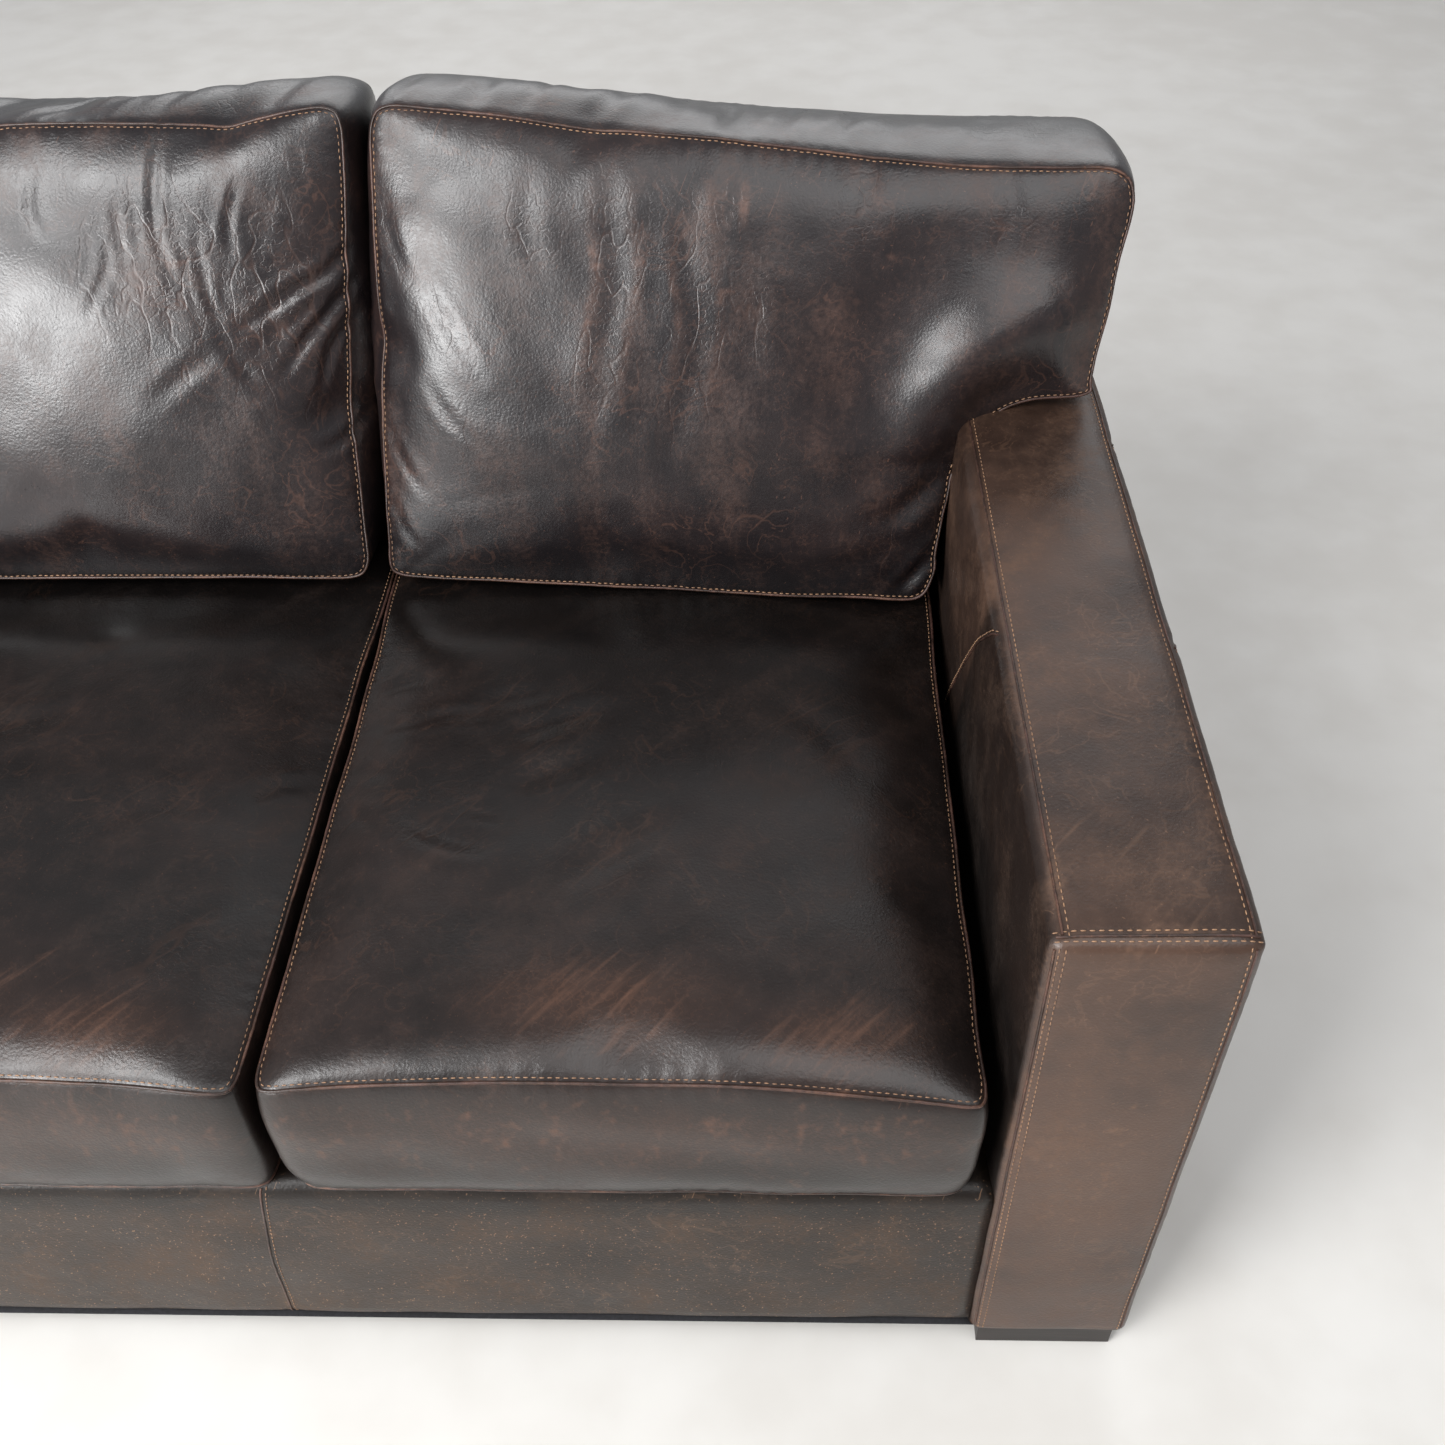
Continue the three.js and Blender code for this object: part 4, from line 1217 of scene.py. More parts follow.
@dataclass
class SeatCushion(BoxCushion):
    """A seat cushion: panel coordinates are X and Y, and the front panel looks up."""

    crown: float = 15.0
    swell_power: float = 0.5
    centre: float = 0.0
    bottom: float = DECK_Z + 1.5
    droop: float = 0.0
    border_shade: float = -0.5

    def seam_height(self, u: np.ndarray, v: np.ndarray) -> np.ndarray:
        """Return the top seam's height: lower at a drooping end, and flat under the back cushion."""
        across = (u - self.centre) / 300.0
        return 446.0 - self.droop * smooth(across, 0.25, 1.0) + 2.0 * (1 - across**2)

    def front(self, u: np.ndarray, v: np.ndarray) -> tuple[np.ndarray, np.ndarray]:
        """Return the top panel."""
        points = np.column_stack([u, v, self.seam_height(u, v)])
        fade = 1 - smooth(v, -30.0, 95.0)
        return points, np.column_stack([0 * u, 0 * u, 0.25 + 0.75 * fade])

    def rear(self, u: np.ndarray, v: np.ndarray) -> tuple[np.ndarray, np.ndarray]:
        """Return the bottom panel, pulled in a little all round."""
        middle = (FRONT_Y + 262.0) / 2
        x, y = self.centre + (u - self.centre) * 0.975, middle + (v - middle) * 0.978
        return np.column_stack([x, y, 0 * u + self.bottom]), np.zeros((len(u), 3))

    def border_bulge(self, points: np.ndarray, outward: np.ndarray) -> np.ndarray:
        """Return the border's bulge: free in front, held by the neighbours at the sides."""
        return np.where(outward[:, 1] < -0.5, 13.0, 4.0)

    def give(self, points: np.ndarray) -> np.ndarray:
        """Return how freely each vertex may move."""
        top = smooth(points[:, 2], self.bottom + 4.0, self.bottom + 90.0)
        side = 1 - 0.75 * smooth(abs(points[:, 0] - self.centre), 270.0, 292.0)
        rear = 1 - 0.95 * smooth(points[:, 1], -10.0, 95.0)
        return top * side * rear

    def detail(self, work: Leatherwork) -> None:
        """Press in soft dents, wear the front border and the zone behind it, lighten that zone further as a
        painted highlight, and paint shade on the border and at the rear.
        """
        x = self.centre
        paths = SEAT_FOLDS[self.seed % len(SEAT_FOLDS)]
        placed = tuple(([(x + a, b, 460.0) for a, b in path], *rest) for path, *rest in paths)
        work.press_in(placed, np.array([0.0, 0.0, 1.0]))
        # Wear, and behind the front seam also a painted highlight
        for across, y, z, radius, amount in SEAT_RUBS_AND_HIGHLIGHT:
            work.rub((x + across, y, z), radius, amount)
        # Painted shade across the front border, deepest low down
        work.dye((x, -560.0, 340.0), (620.0, 44.0, 90.0), self.border_shade)
        # The front is made lighter, and the rear darkened as painted shade
        for y, radius, amount in SEAT_DYE_AND_SHADE:
            work.dye((x, y, 430.0), radius, amount)


SEAT_PITCH = 602.5
# Each seat's name, side and half width, how far its right end droops, and the painted shade on its front
# border
SEATS = (("right", 1, 295.0, 16.0, -0.5), ("centre", 0, 299.0, 4.0, -0.9), ("left", -1, 295.0, 0.0, -0.5))
# Rubbed zones of a seat: X from its middle, Y, Z, reach and wear. The first, behind the front seam, is also
# lightened as a painted highlight.
SEAT_RUBS_AND_HIGHLIGHT = (
    (-20.0, -440.0, 450.0, (220.0, 80.0, 60.0), 0.72),
    (170.0, -470.0, 450.0, (130.0, 70.0, 50.0), 0.65),
    (0.0, -540.0, 390.0, (620.0, 40.0, 120.0), 0.72),
)
# The lighter front of a seat, and its rear painted darker as shade under the back cushions: Y, reach and tone
SEAT_DYE_AND_SHADE = ((-470.0, (330.0, 110.0, 200.0), 0.8), (150.0, (400.0, 200.0, 300.0), -0.9))
# Folds of a seat: X from its middle and Y, then depth, half width, lip and wear
SEAT_FOLDS = (
    (
        ([(-269, -109), (-233, -116), (-195, -109), (-145, -113)], 1.3, 8.0, 0.8, 0.3),
        ([(-166, -102), (-138, -89), (-99, -80)], 1.8, 13.0, 0.4, 0.0),
        ([(-132, -137), (-103, -129), (-66, -113), (-32, -109)], 2.6, 14.0, 0.5, 0.0),
        ([(-119, -204), (-87, -191), (-46, -171)], 2.6, 14.0, 0.5, 0.0),
        ([(-211, -243), (-180, -264), (-146, -276), (-128, -276)], 2.4, 13.0, 0.6, 0.1),
        ([(-192, -246), (-156, -242), (-119, -241)], 1.6, 12.0, 0.4, 0.0),
        ([(-63, -331), (-35, -302), (-1, -272), (34, -251)], 2.4, 15.0, 0.4, 0.0),
        ([(-279, -58), (-255, -52), (-219, -52)], 1.4, 9.0, 0.6, 0.2),
        ([(-285, -170), (-262, -175), (-240, -190)], 1.2, 8.0, 0.6, 0.2),
        ([(-284, -230), (-262, -235), (-243, -255)], 1.2, 8.0, 0.6, 0.2),
        ([(120, -90), (165, -120), (200, -170)], 1.2, 16.0, 0.3, 0.0),
    ),
    (
        ([(-150, -100), (-80, -130), (0, -120), (70, -90)], 1.6, 15.0, 0.4, 0.0),
        ([(100, -260), (160, -230), (220, -240)], 1.8, 14.0, 0.4, 0.0),
        ([(-220, -330), (-160, -300), (-120, -250)], 1.6, 13.0, 0.4, 0.0),
        ([(284, -180), (258, -190), (236, -215)], 1.2, 8.0, 0.6, 0.2),
        ([(180, -440), (215, -400), (240, -340)], 1.4, 12.0, 0.4, 0.1),
    ),
    (
        ([(205, -120), (150, -95), (85, -80), (30, -90)], 1.9, 14.0, 0.5, 0.0),
        ([(190, -230), (130, -210), (60, -215)], 2.0, 13.0, 0.5, 0.0),
        ([(-180, -160), (-120, -120), (-60, -110)], 1.5, 14.0, 0.4, 0.0),
        ([(280, -140), (255, -150), (230, -180)], 1.2, 8.0, 0.6, 0.2),
        ([(230, -400), (200, -360), (190, -300)], 1.4, 12.0, 0.4, 0.1),
    ),
)


@dataclass
class BackCushion(BoxCushion):
    """A back cushion: panel coordinates are X and Z, and the front panel leans back."""

    crown: float = 38.0
    mirror: int = 1
    foot_y: float = 104.0
    lean: float = 0.364
    twist: float = 0.0
    top_fall: float = 30.0
    top_span: tuple[float, float] = (-260.0, 270.0)
    folds: tuple = ()
    crumples: tuple = ()

    def front(self, u: np.ndarray, v: np.ndarray) -> tuple[np.ndarray, np.ndarray]:
        """Return the leaning front panel."""
        depth = self.foot_y + (v - 452.0) * self.lean + self.twist * (abs(u) - 600.0)
        slope = math.hypot(1.0, self.lean)
        way = np.column_stack([0 * u, 0 * u - 1 / slope, 0 * u + self.lean / slope])
        return np.column_stack([u, depth, v]), way

    def rear(self, u: np.ndarray, v: np.ndarray) -> tuple[np.ndarray, np.ndarray]:
        """Return the rear panel, which lies on the inside back and stands free above it."""
        lower = v - self.top_fall * smooth(v, 740.0, 905.0)
        points = np.column_stack([u, inside_back_y(lower) - 5.0, lower])
        free = smooth(v, ARM_TOP, ARM_TOP + 60.0)
        return points, np.column_stack([0 * u, free, 0 * u])

    def border_bulge(self, points: np.ndarray, outward: np.ndarray) -> np.ndarray:
        """Return the border's bulge: full on top, small at the sides, flat where it rests."""
        up, side = outward[:, 2], abs(outward[:, 0])
        return np.where(up > 0.5, 9.0, np.where(up < -0.5, 0.0, 3.0 + 6.0 * side * (points[:, 2] > ARM_TOP)))

    def give(self, points: np.ndarray) -> np.ndarray:
        """Return how freely each vertex may move."""
        off_seat = smooth(points[:, 2], 458.0, 510.0)
        ear_foot = (abs(points[:, 0]) > INNER_HALF - 12) & (points[:, 2] < ARM_TOP + 22)
        off_rear = 1 - smooth(points[:, 1] - inside_back_y(points[:, 2]), -60.0, -10.0)
        above = smooth(points[:, 2], ARM_TOP + 10, ARM_TOP + 80)
        return np.where(ear_foot, 0.05, off_seat * np.maximum(off_rear, 0.5 * above))

    def top_folds(self) -> tuple:
        """Return slanting folds across the border strip on top."""
        rng = np.random.default_rng(self.seed)
        made = []
        for x in np.arange(*self.top_span, 62.0):
            start, lean = x + rng.uniform(-14, 14), rng.uniform(10, 45)
            path = [(start, 278.0), (start + 0.5 * lean, 330.0), (start + lean, rng.uniform(370, 410))]
            line = [(self.mirror * a, b, 1000.0) for a, b in path]
            made.append((line, rng.uniform(1.0, 2.4), rng.uniform(7.0, 13.0), 0.7, 0.3))
        return tuple(made)

    def detail(self, work: Leatherwork) -> None:
        """Press in the folds, and wear the leather as the photo shows."""
        slope = math.hypot(1.0, self.lean)
        facing = np.array([0.0, -1 / slope, self.lean / slope])
        placed = []
        for path, *rest in self.folds:
            line = [(self.mirror * a, self.foot_y + (b - 452.0) * self.lean, b) for a, b in path]
            placed.append((line, *rest))
        work.press_in(tuple(placed), facing)
        work.press_in(self.top_folds(), np.array([0.0, 0.0, 1.0]))
        for centre, radius, size, depth in self.crumples:
            work.crumple(centre, radius, size, depth, self.seed + 50)
        # Painted shade: darker low down, where the cushion meets the seat, and towards the rear, against the
        # inside back
        work.tone -= 0.5 * (1 - smooth(work.points[:, 2], 450.0, 560.0))
        work.tone -= 0.8 * smooth(work.points[:, 1] - inside_back_y(work.points[:, 2]), -160.0, -60.0)
        for x, y, z, radius, amount in BACK_RUBS:
            work.rub((self.mirror * x, y, z), radius, amount)
        work.crease = np.maximum(work.crease, 0.06)


# Rubbed zones of the back cushions: X, Y, Z, reach and wear
BACK_RUBS = (
    (640.0, 150.0, 560.0, (260.0, 90.0, 110.0), 0.35),
    (760.0, 190.0, 740.0, (190.0, 90.0, 130.0), 0.45),
    (1040.0, 200.0, 760.0, (60.0, 120.0, 120.0), 0.4),
    (600.0, 270.0, 912.0, (700.0, 110.0, 30.0), 0.4),
)
EAR_CORNERS = (
    Corner(303, 466, 20), Corner(893, 447, 16), Corner(922, 650, 88), Corner(1056, 657, 18),
    Corner(1071, 873, 34), Corner(895, 875, 80, False), Corner(640, 896, 80, False),
    Corner(464, 910, 50, False), Corner(342, 915, 20), Corner(313, 653, 60, False),
)
CENTRE_CORNERS = (
    Corner(-284, 464, 20), Corner(284, 464, 20), Corner(295, 650, 60, False), Corner(307, 911, 20),
    Corner(169, 903, 60, False), Corner(-169, 903, 60, False), Corner(-307, 911, 20),
    Corner(-295, 650, 60, False),
)
# Folds of the back cushions: X and Z, then depth (a swell below nought), half width, lip and wear
EAR_FOLDS = (
    ([(880, 590), (892, 650), (920, 693), (965, 720), (1035, 736)], -20.0, 38.0, 0.0, 0.0),
    ([(800, 600), (815, 680), (845, 745), (905, 795), (1000, 815)], 9.0, 50.0, 0.0, 0.0),
    ([(360, 840), (410, 700), (440, 560)], -6.0, 70.0, 0.0, 0.0),
    ([(376, 771), (404, 726), (434, 680)], 1.1, 7.6, 0.7, 0.1),
    ([(343, 843), (354, 793), (374, 756)], 1.0, 6.8, 0.7, 0.1),
    ([(379, 672), (397, 641), (428, 613)], 1.0, 6.8, 0.7, 0.1),
    ([(321, 641), (337, 597), (360, 564)], 1.0, 6.0, 0.7, 0.2),
    ([(318, 560), (332, 525), (352, 500)], 0.8, 6.0, 0.7, 0.2),
    ([(571, 886), (570, 816), (574, 769), (560, 710), (543, 616)], 0.8, 11.5, 0.5, 0.56),
    ([(653, 868), (647, 790), (654, 739), (647, 686), (618, 600)], 0.8, 11.5, 0.5, 0.48),
    ([(684, 861), (679, 804)], 0.5, 9.2, 0.5, 0.6),
    ([(703, 804), (707, 739), (703, 686)], 0.6, 10.3, 0.5, 0.4),
    ([(490, 859), (488, 806), (502, 773)], 0.6, 10.3, 0.5, 0.32),
    ([(628, 833), (639, 790), (642, 739)], 0.5, 8.0, 0.5, 0.32),
    ([(843, 532), (877, 557), (906, 582)], 3.2, 11.0, 0.7, 0.0),
    ([(859, 458), (876, 476), (893, 497)], 3.0, 7.0, 0.9, 0.3),
    ([(817, 528), (856, 553), (897, 600)], 2.2, 14.0, 0.5, 0.0),
    ([(780, 480), (830, 500), (880, 535)], 1.8, 14.0, 0.5, 0.0),
    ([(1040, 690), (1015, 720), (1000, 770)], 1.4, 10.0, 0.6, 0.1),
    ([(950, 862), (955, 820), (940, 780)], 1.0, 9.0, 0.6, 0.3),
    ([(820, 870), (815, 820), (825, 770)], 1.0, 9.0, 0.6, 0.3),
)
CENTRE_FOLDS = (
    ([(135, 911), (125, 855), (123, 808), (132, 780), (137, 752)], 1.3, 5.0, 0.7, 0.2),
    ([(7, 859), (2, 829), (13, 805)], 0.8, 5.0, 0.7, 0.1),
    ([(86, 838), (86, 808), (90, 773)], 0.8, 4.5, 0.7, 0.1),
    ([(77, 808), (70, 774), (46, 739)], 0.7, 4.5, 0.7, 0.1),
    ([(206, 851), (197, 827), (192, 807), (196, 786)], 1.1, 4.5, 0.8, 0.1),
    ([(162, 814), (162, 787), (165, 759), (174, 720)], 0.9, 4.5, 0.8, 0.1),
    ([(302, 792), (283, 772), (258, 758), (220, 737), (194, 723)], 2.9, 5.8, 0.6, 0.1),
    ([(303, 760), (283, 740), (255, 709), (227, 676)], 2.9, 5.8, 0.6, 0.1),
    ([(301, 730), (287, 716), (273, 694), (260, 654)], 2.2, 5.0, 0.6, 0.1),
    ([(263, 880), (268, 860), (273, 847)], 0.9, 4.5, 0.8, 0.2),
    ([(266, 823), (291, 806), (300, 790)], 1.2, 5.0, 0.7, 0.1),
    ([(276, 751), (259, 737), (241, 723)], 1.3, 4.5, 0.7, 0.1),
    ([(297, 630), (274, 609), (249, 601)], 1.4, 5.8, 0.7, 0.1),
    ([(210, 665), (189, 687), (173, 709)], 1.1, 6.5, 0.6, 0.0),
    ([(220, 737), (230, 751), (263, 765)], 1.1, 5.0, 0.7, 0.1),
    ([(96, 655), (132, 680), (172, 706)], 0.9, 8.6, 0.5, 0.0),
    ([(-300, 780), (-270, 760), (-230, 720)], 1.7, 6.5, 0.6, 0.1),
    ([(-300, 660), (-260, 650), (-215, 620)], 1.3, 6.5, 0.6, 0.1),
    ([(-100, 905), (-105, 850), (-96, 800)], 0.9, 5.8, 0.7, 0.2),
)
# Crumpled zones: middle, reach, size of the facets and depth
CENTRE_CRUMPLES = (
    ((240.0, 130.0, 765.0), (85.0, 200.0, 120.0), 17.0, 1.9),
    ((130.0, 130.0, 800.0), (90.0, 200.0, 90.0), 20.0, 0.9),
)


# Tailored covers: lattice sheets with rounded edges, then given a thickness


def steps_between(low: float, high: float, pitch: float, edge: float = 10.0) -> np.ndarray:
    """Return lattice places from low to high, closer together near both ends."""
    near = np.array([0.0, 0.35, 0.7, 1.0]) * edge
    inner = np.linspace(low + edge, high - edge, max(2, int(round((high - low - 2 * edge) / pitch)) + 1))
    return np.concatenate([low + near[:-1], inner, high - near[:-1][::-1]])


def edge_swell(distance: np.ndarray, reach: float = 34.0) -> np.ndarray:
    """Return how far padding has risen at a distance from the edge that holds it down."""
    return 1 - np.exp(-np.maximum(distance, 0.0) / reach)


def thicken(made: bpy.types.Object, thickness: float) -> None:
    """Give a sheet its thickness, inwards, and keep the result."""
    solid = made.modifiers.new("thickness", "SOLIDIFY")
    solid.thickness = thickness * MM
    solid.offset = -1.0
    bake_modifiers(made)


@dataclass
class Trim:
    """What a tailored cover gets once its shape is done. The name starts those of its edges and stitches."""

    name: str
    slot: str
    node: str
    finish: LeatherFinish
    thickness: float = 2.3

    def close(self, work: Leatherwork, sewing: Sewing, lines: Lines, rows: Lines) -> None:
        """Dress and thicken the cover, sew along its seams, and hand all of it over.

        Args:
            work: The cover with its seams pressed in.
            sewing: What runs the edges and the thread.
            lines: The seams' paths.
            rows: The paths of the rows of stitches.
        """
        work.finish(sewing.workshop.get(self.finish))
        surface = work.surface()
        thicken(work.made, self.thickness)
        hand_over(work.made, self.slot, self.node)
        if lines:
            edges = [(lay_on(surface, line, 0.3), False) for line in lines]
            threads = [(lay_on(surface, row, 0.2), False) for row in rows]
            sewing.sew(self.slot, f"{self.name}_seam_edges", edges, f"{self.name}_stitching", threads)


@dataclass
class TrackArm:
    """A square arm: sewn panels in front, on top, inside and outside."""

    # Where the pieced seams run, in Y and Z. The inner one is read from the photo.
    INNER_PIECE = ((-182, ARM_TOP - 3), (-158, 612), (-120, 570), (-59, 485), (-15, 419), (8, 359), (2, 292))
    OUTER_PIECE = ((-200, ARM_TOP - 3), (-160, 600), (-120, 480), (-100, 300))
    OUTER_REAR_PIECE = ((110, ARM_TOP - 3), (160, 590), (210, 470), (225, 300))
    # How far each row of stitches lies from its seam
    ROWS = (
        ("top_inner", (4.5, 0, 0)), ("top_outer", (-4.5, 0, 0)), ("top_front", (0, 4.5, 0)),
        ("top_front", (0, -4.5, 0)), ("front_inner", (5, 0, 0)), ("front_inner", (10, 0, 0)),
        ("front_outer", (-4.5, 0, 0)), ("inner_piece", (0, 4.5, 0)), ("outer_piece", (0, -4.5, 0)),
        ("outer_rear_piece", (0, -4.5, 0)),
    )

    side: Side
    pitch: float = 11.0
    radius: float = 12.0
    puff: float = 3.2
    seam_inset: float = 10.0
    foam_inset: float = 3.4
    foam_radius: float = 11.0

    def sheet(self) -> Sheet:
        """Return the cover as a lattice with rounded edges."""
        low, high = INNER_HALF, OUTER_HALF
        rear = REAR_Y - 2.8
        xs = steps_between(low, high, self.pitch)
        ys = steps_between(FRONT_Y, rear, self.pitch)
        zs = steps_between(HEM_Z, ARM_TOP, self.pitch)
        index: dict[tuple[int, int, int], int] = {}
        quads: list[list[int]] = []

        def vertex(*key: int) -> int:
            return index.setdefault(key, len(index))

        def face(fixed: int, value: int, first: int, second: int, flip: bool, keep=None) -> None:
            sizes = (len(xs), len(ys), len(zs))
            for a in range(sizes[first] - 1):
                for b in range(sizes[second] - 1):
                    if keep and not keep(a, b):
                        continue
                    quad = []
                    for da, db in ((0, 0), (1, 0), (1, 1), (0, 1)):
                        key = [0, 0, 0]
                        key[fixed], key[first], key[second] = value, a + da, b + db
                        quad.append(vertex(*key))
                    quads.append(quad[::-1] if flip else quad)

        def inner_wall(a: int, b: int) -> bool:
            y, z = ys[a + 1], zs[b + 1]
            return not (z < 266.0 and y > FRONT_Y + 26) and ys[a] < inside_back_y(z) + 12

        face(1, 0, 0, 2, False)
        face(2, len(zs) - 1, 0, 1, False)
        face(0, 0, 1, 2, True, inner_wall)
        face(0, len(xs) - 1, 1, 2, False)
        points = np.array([[xs[i], ys[j], zs[k]] for i, j, k in index])
        return Sheet(self.shape(points, rear), np.array(quads))

    def shape(self, points: np.ndarray, rear: float) -> np.ndarray:
        """Round the edges and let the padding swell between the seams."""
        core_low = np.array([INNER_HALF, FRONT_Y, -1e3]) + self.radius
        core_high = np.array([OUTER_HALF, 1e3, ARM_TOP]) - self.radius
        core = np.clip(points, core_low, core_high)
        away = points - core
        length = np.maximum(np.linalg.norm(away, axis=1), 1e-6)
        way = away / length[:, None]
        made = np.where((abs(away) > 1e-6).sum(axis=1)[:, None] > 1, core + way * self.radius, points)
        x, y, z = points.T
        to_top, to_front = ARM_TOP - z, y - FRONT_Y
        to_inner, to_outer = x - INNER_HALF, OUTER_HALF - x
        hem, across = edge_swell(z - HEM_Z, 20.0), edge_swell(to_inner, 22) * edge_swell(to_outer, 22)
        inside = edge_swell(to_top) * edge_swell(to_front) * (to_inner < 1e-3)
        outside = edge_swell(to_top) * edge_swell(to_front) * hem * (to_outer < 1e-3)
        top = across * edge_swell(to_front) * (to_top < 1e-3)
        front = across * edge_swell(to_top) * hem * (to_front < 1e-3)
        made[:, 0] += self.puff * (outside - 1.4 * inside)
        made[:, 1] -= self.puff * front
        made[:, 2] += 0.9 * self.puff * top
        return made

    def seams(self) -> dict[str, np.ndarray]:
        """Return the seams' paths by name, on the right arm."""
        inset, rear = self.seam_inset, REAR_Y - 4.0
        inner, outer = INNER_HALF + inset, OUTER_HALF - inset * 0.7
        top_front, hem = FRONT_Y + inset, HEM_Z + 4
        along_top = ((top_front, ARM_TOP), (-200, ARM_TOP), (rear, ARM_TOP))
        paths = {
            "top_inner": [(inner, y, z) for y, z in along_top],
            "top_outer": [(outer, y, z) for y, z in along_top],
            "top_front": [(inner - 6, top_front - 2, ARM_TOP), (outer + 4, top_front, ARM_TOP)],
            "front_inner": [(INNER_HALF + 2, FRONT_Y, ARM_TOP - 8), (INNER_HALF + 3, FRONT_Y, hem)],
            "front_outer": [(outer, FRONT_Y, ARM_TOP - 6), (outer + 1, FRONT_Y, hem)],
            "inner_piece": [(INNER_HALF, y, z) for y, z in self.INNER_PIECE],
            "outer_piece": [(OUTER_HALF, y, z) for y, z in (*self.OUTER_PIECE, (-95, hem))],
            "outer_rear_piece": [(OUTER_HALF, y, z) for y, z in (*self.OUTER_REAR_PIECE, (228, hem))],
        }
        return {name: smooth_path(path) for name, path in paths.items()}

    def dye_and_shade_panels(self, work: Leatherwork) -> None:
        """Give the pieces of hide their own depth of dye, light in front and dark inside, with painted shade
        added low on the inside near the seat.
        """
        x, y, z = abs(work.points[:, 0]), work.points[:, 1], work.points[:, 2]
        inside = 1 - smooth(x, INNER_HALF + 1.0, INNER_HALF + self.seam_inset - 1.0)
        in_front = 1 - smooth(y, FRONT_Y + 2.0, FRONT_Y + self.seam_inset)
        before_seam = 1 - smooth(y + 0.35 * (z - 450.0), -85.0, -75.0)
        # Deeper dye in front of the pieced seam; darker low down near the seat, partly deeper dye and partly
        # painted shade
        dark = -0.15 - 0.5 * before_seam - 0.45 * (1 - smooth(z, 430.0, 560.0))
        work.tone += inside * (1 - in_front) * dark + 0.75 * in_front

    def build_foam(self, workshop: Workshop) -> None:
        """Make the foam under the cover, with its outer edges eased to follow the leather."""
        node = f"arm_padding_{self.side.name.lower()}"
        shell = bmesh.new()
        shell.from_mesh(frame["nodes"][node].data)
        bmesh.ops.remove_doubles(shell, verts=shell.verts, dist=MERGE_MM * MM)
        mesh = bpy.data.meshes.new(f"{node}_foam")
        shell.to_mesh(mesh)
        shell.free()
        made = new_object(mesh)
        flip = np.array([self.side.value, 1, 1])
        points = mesh_points(made) * flip
        low = np.array([INNER_HALF, FRONT_Y, -1e3]) + self.foam_inset
        high = np.array([OUTER_HALF, 1e3, ARM_TOP]) - self.foam_inset
        core = np.clip(points, low + self.foam_radius, high - self.foam_radius)
        away = points - core
        length = np.maximum(np.linalg.norm(away, axis=1), 1e-6)[:, None]
        eased = core + away * np.minimum(1.0, self.foam_radius / length)
        write_points(made, eased * flip)
        dress(made, workshop.get(FOAM))
        hand_over(made, "foam", node)

    def build(self, sewing: Sewing) -> None:
        """Make the arm's cover with its seams and stitches, and hand them over."""
        label = self.side.name.lower()
        flip = np.array([self.side.value, 1, 1])
        sheet = self.sheet()
        sheet.points = sheet.points * flip
        if self.side is Side.LEFT:
            sheet.quads = sheet.quads[:, ::-1]
        made = sheet.to_object(f"arm_cover_{label}_leather")
        work = Leatherwork(made)
        work.raise_by(0.7 * ripple(work.points, 110.0, 31 + self.side.value))
        lines = {name: line * flip for name, line in self.seams().items()}
        for number, (name, line) in enumerate(lines.items()):
            deep = 1.5 if "piece" in name else 1.1
            work.press_seam(line, number, depth=deep, pucker=0.6 if name == "top_inner" else 0.3)
        s = self.side.value
        work.rub((s * 990, FRONT_Y, 330.0), (120.0, 30.0, 330.0), 0.45)
        work.rub((s * 990, FRONT_Y + 60, ARM_TOP), (110.0, 120.0, 20.0), 0.45)
        work.rub((s * INNER_HALF, -330.0, 500.0), (30.0, 170.0, 110.0), 0.3)
        self.dye_and_shade_panels(work)
        rows = [lines[name] + np.array(shift) * flip for name, shift in self.ROWS]
        trim = Trim(f"arm_{label}", "arm_leather", f"arm_cover_{label}", ARM_LEATHER, 2.4)
        trim.close(work, sewing, list(lines.values()), rows)


@dataclass
class BentCover:
    """A cover bent along a path in Y and Z and drawn along X, such as the base front or the inside back."""

    name: str
    node: str
    slot: str
    finish: LeatherFinish
    path: list[tuple[float, float]]
    bend: float = 12.0
    half: float = INNER_HALF - 0.6
    pitch: float = 13.0
    puff: float = 2.5
    seed: int = 40

    def profile(self) -> np.ndarray:
        """Return the path with rounded corners, in even steps."""
        corners = np.array(self.path, float)
        points = [corners[0]]
        for before, here, after in zip(corners, corners[1:], corners[2:]):
            points += rounded_corner(before, here, after, self.bend, 0.45, 7)
        points.append(corners[-1])
        return resample(np.array(points), self.pitch * 0.7)

    def seams(self) -> list[np.ndarray]:
        """Return the seams' paths."""
        return []

    def detail(self, work: Leatherwork) -> None:
        """Wear the cover where the photo shows it; the plain cover gets no wear."""

    def build(self, sewing: Sewing) -> None:
        """Make the cover with its seams and stitches, and hand them over."""
        profile = self.profile()
        xs = np.linspace(-self.half, self.half, int(2 * self.half / self.pitch))
        rows, columns = len(profile), len(xs)
        points = np.array([[x, y, z] for y, z in profile for x in xs])
        made = Sheet(points, grid_quads(rows, columns)).to_object(self.name)
        work = Leatherwork(made)
        share = np.repeat(np.linspace(0, 1, rows), columns)
        swell = edge_swell(self.half - abs(points[:, 0]), 30) * np.sin(math.pi * share) ** 0.5
        work.raise_by(self.puff * swell + 0.8 * ripple(points, 130.0, self.seed))
        lines = self.seams()
        for number, line in enumerate(lines):
            work.press_seam(line, self.seed + number, depth=1.4, pucker=0.3)
        self.detail(work)
        rows_of_thread = [line + np.array([4.5, 0, 0]) for line in lines]
        Trim(self.name, self.slot, self.node, self.finish).close(work, sewing, lines, rows_of_thread)


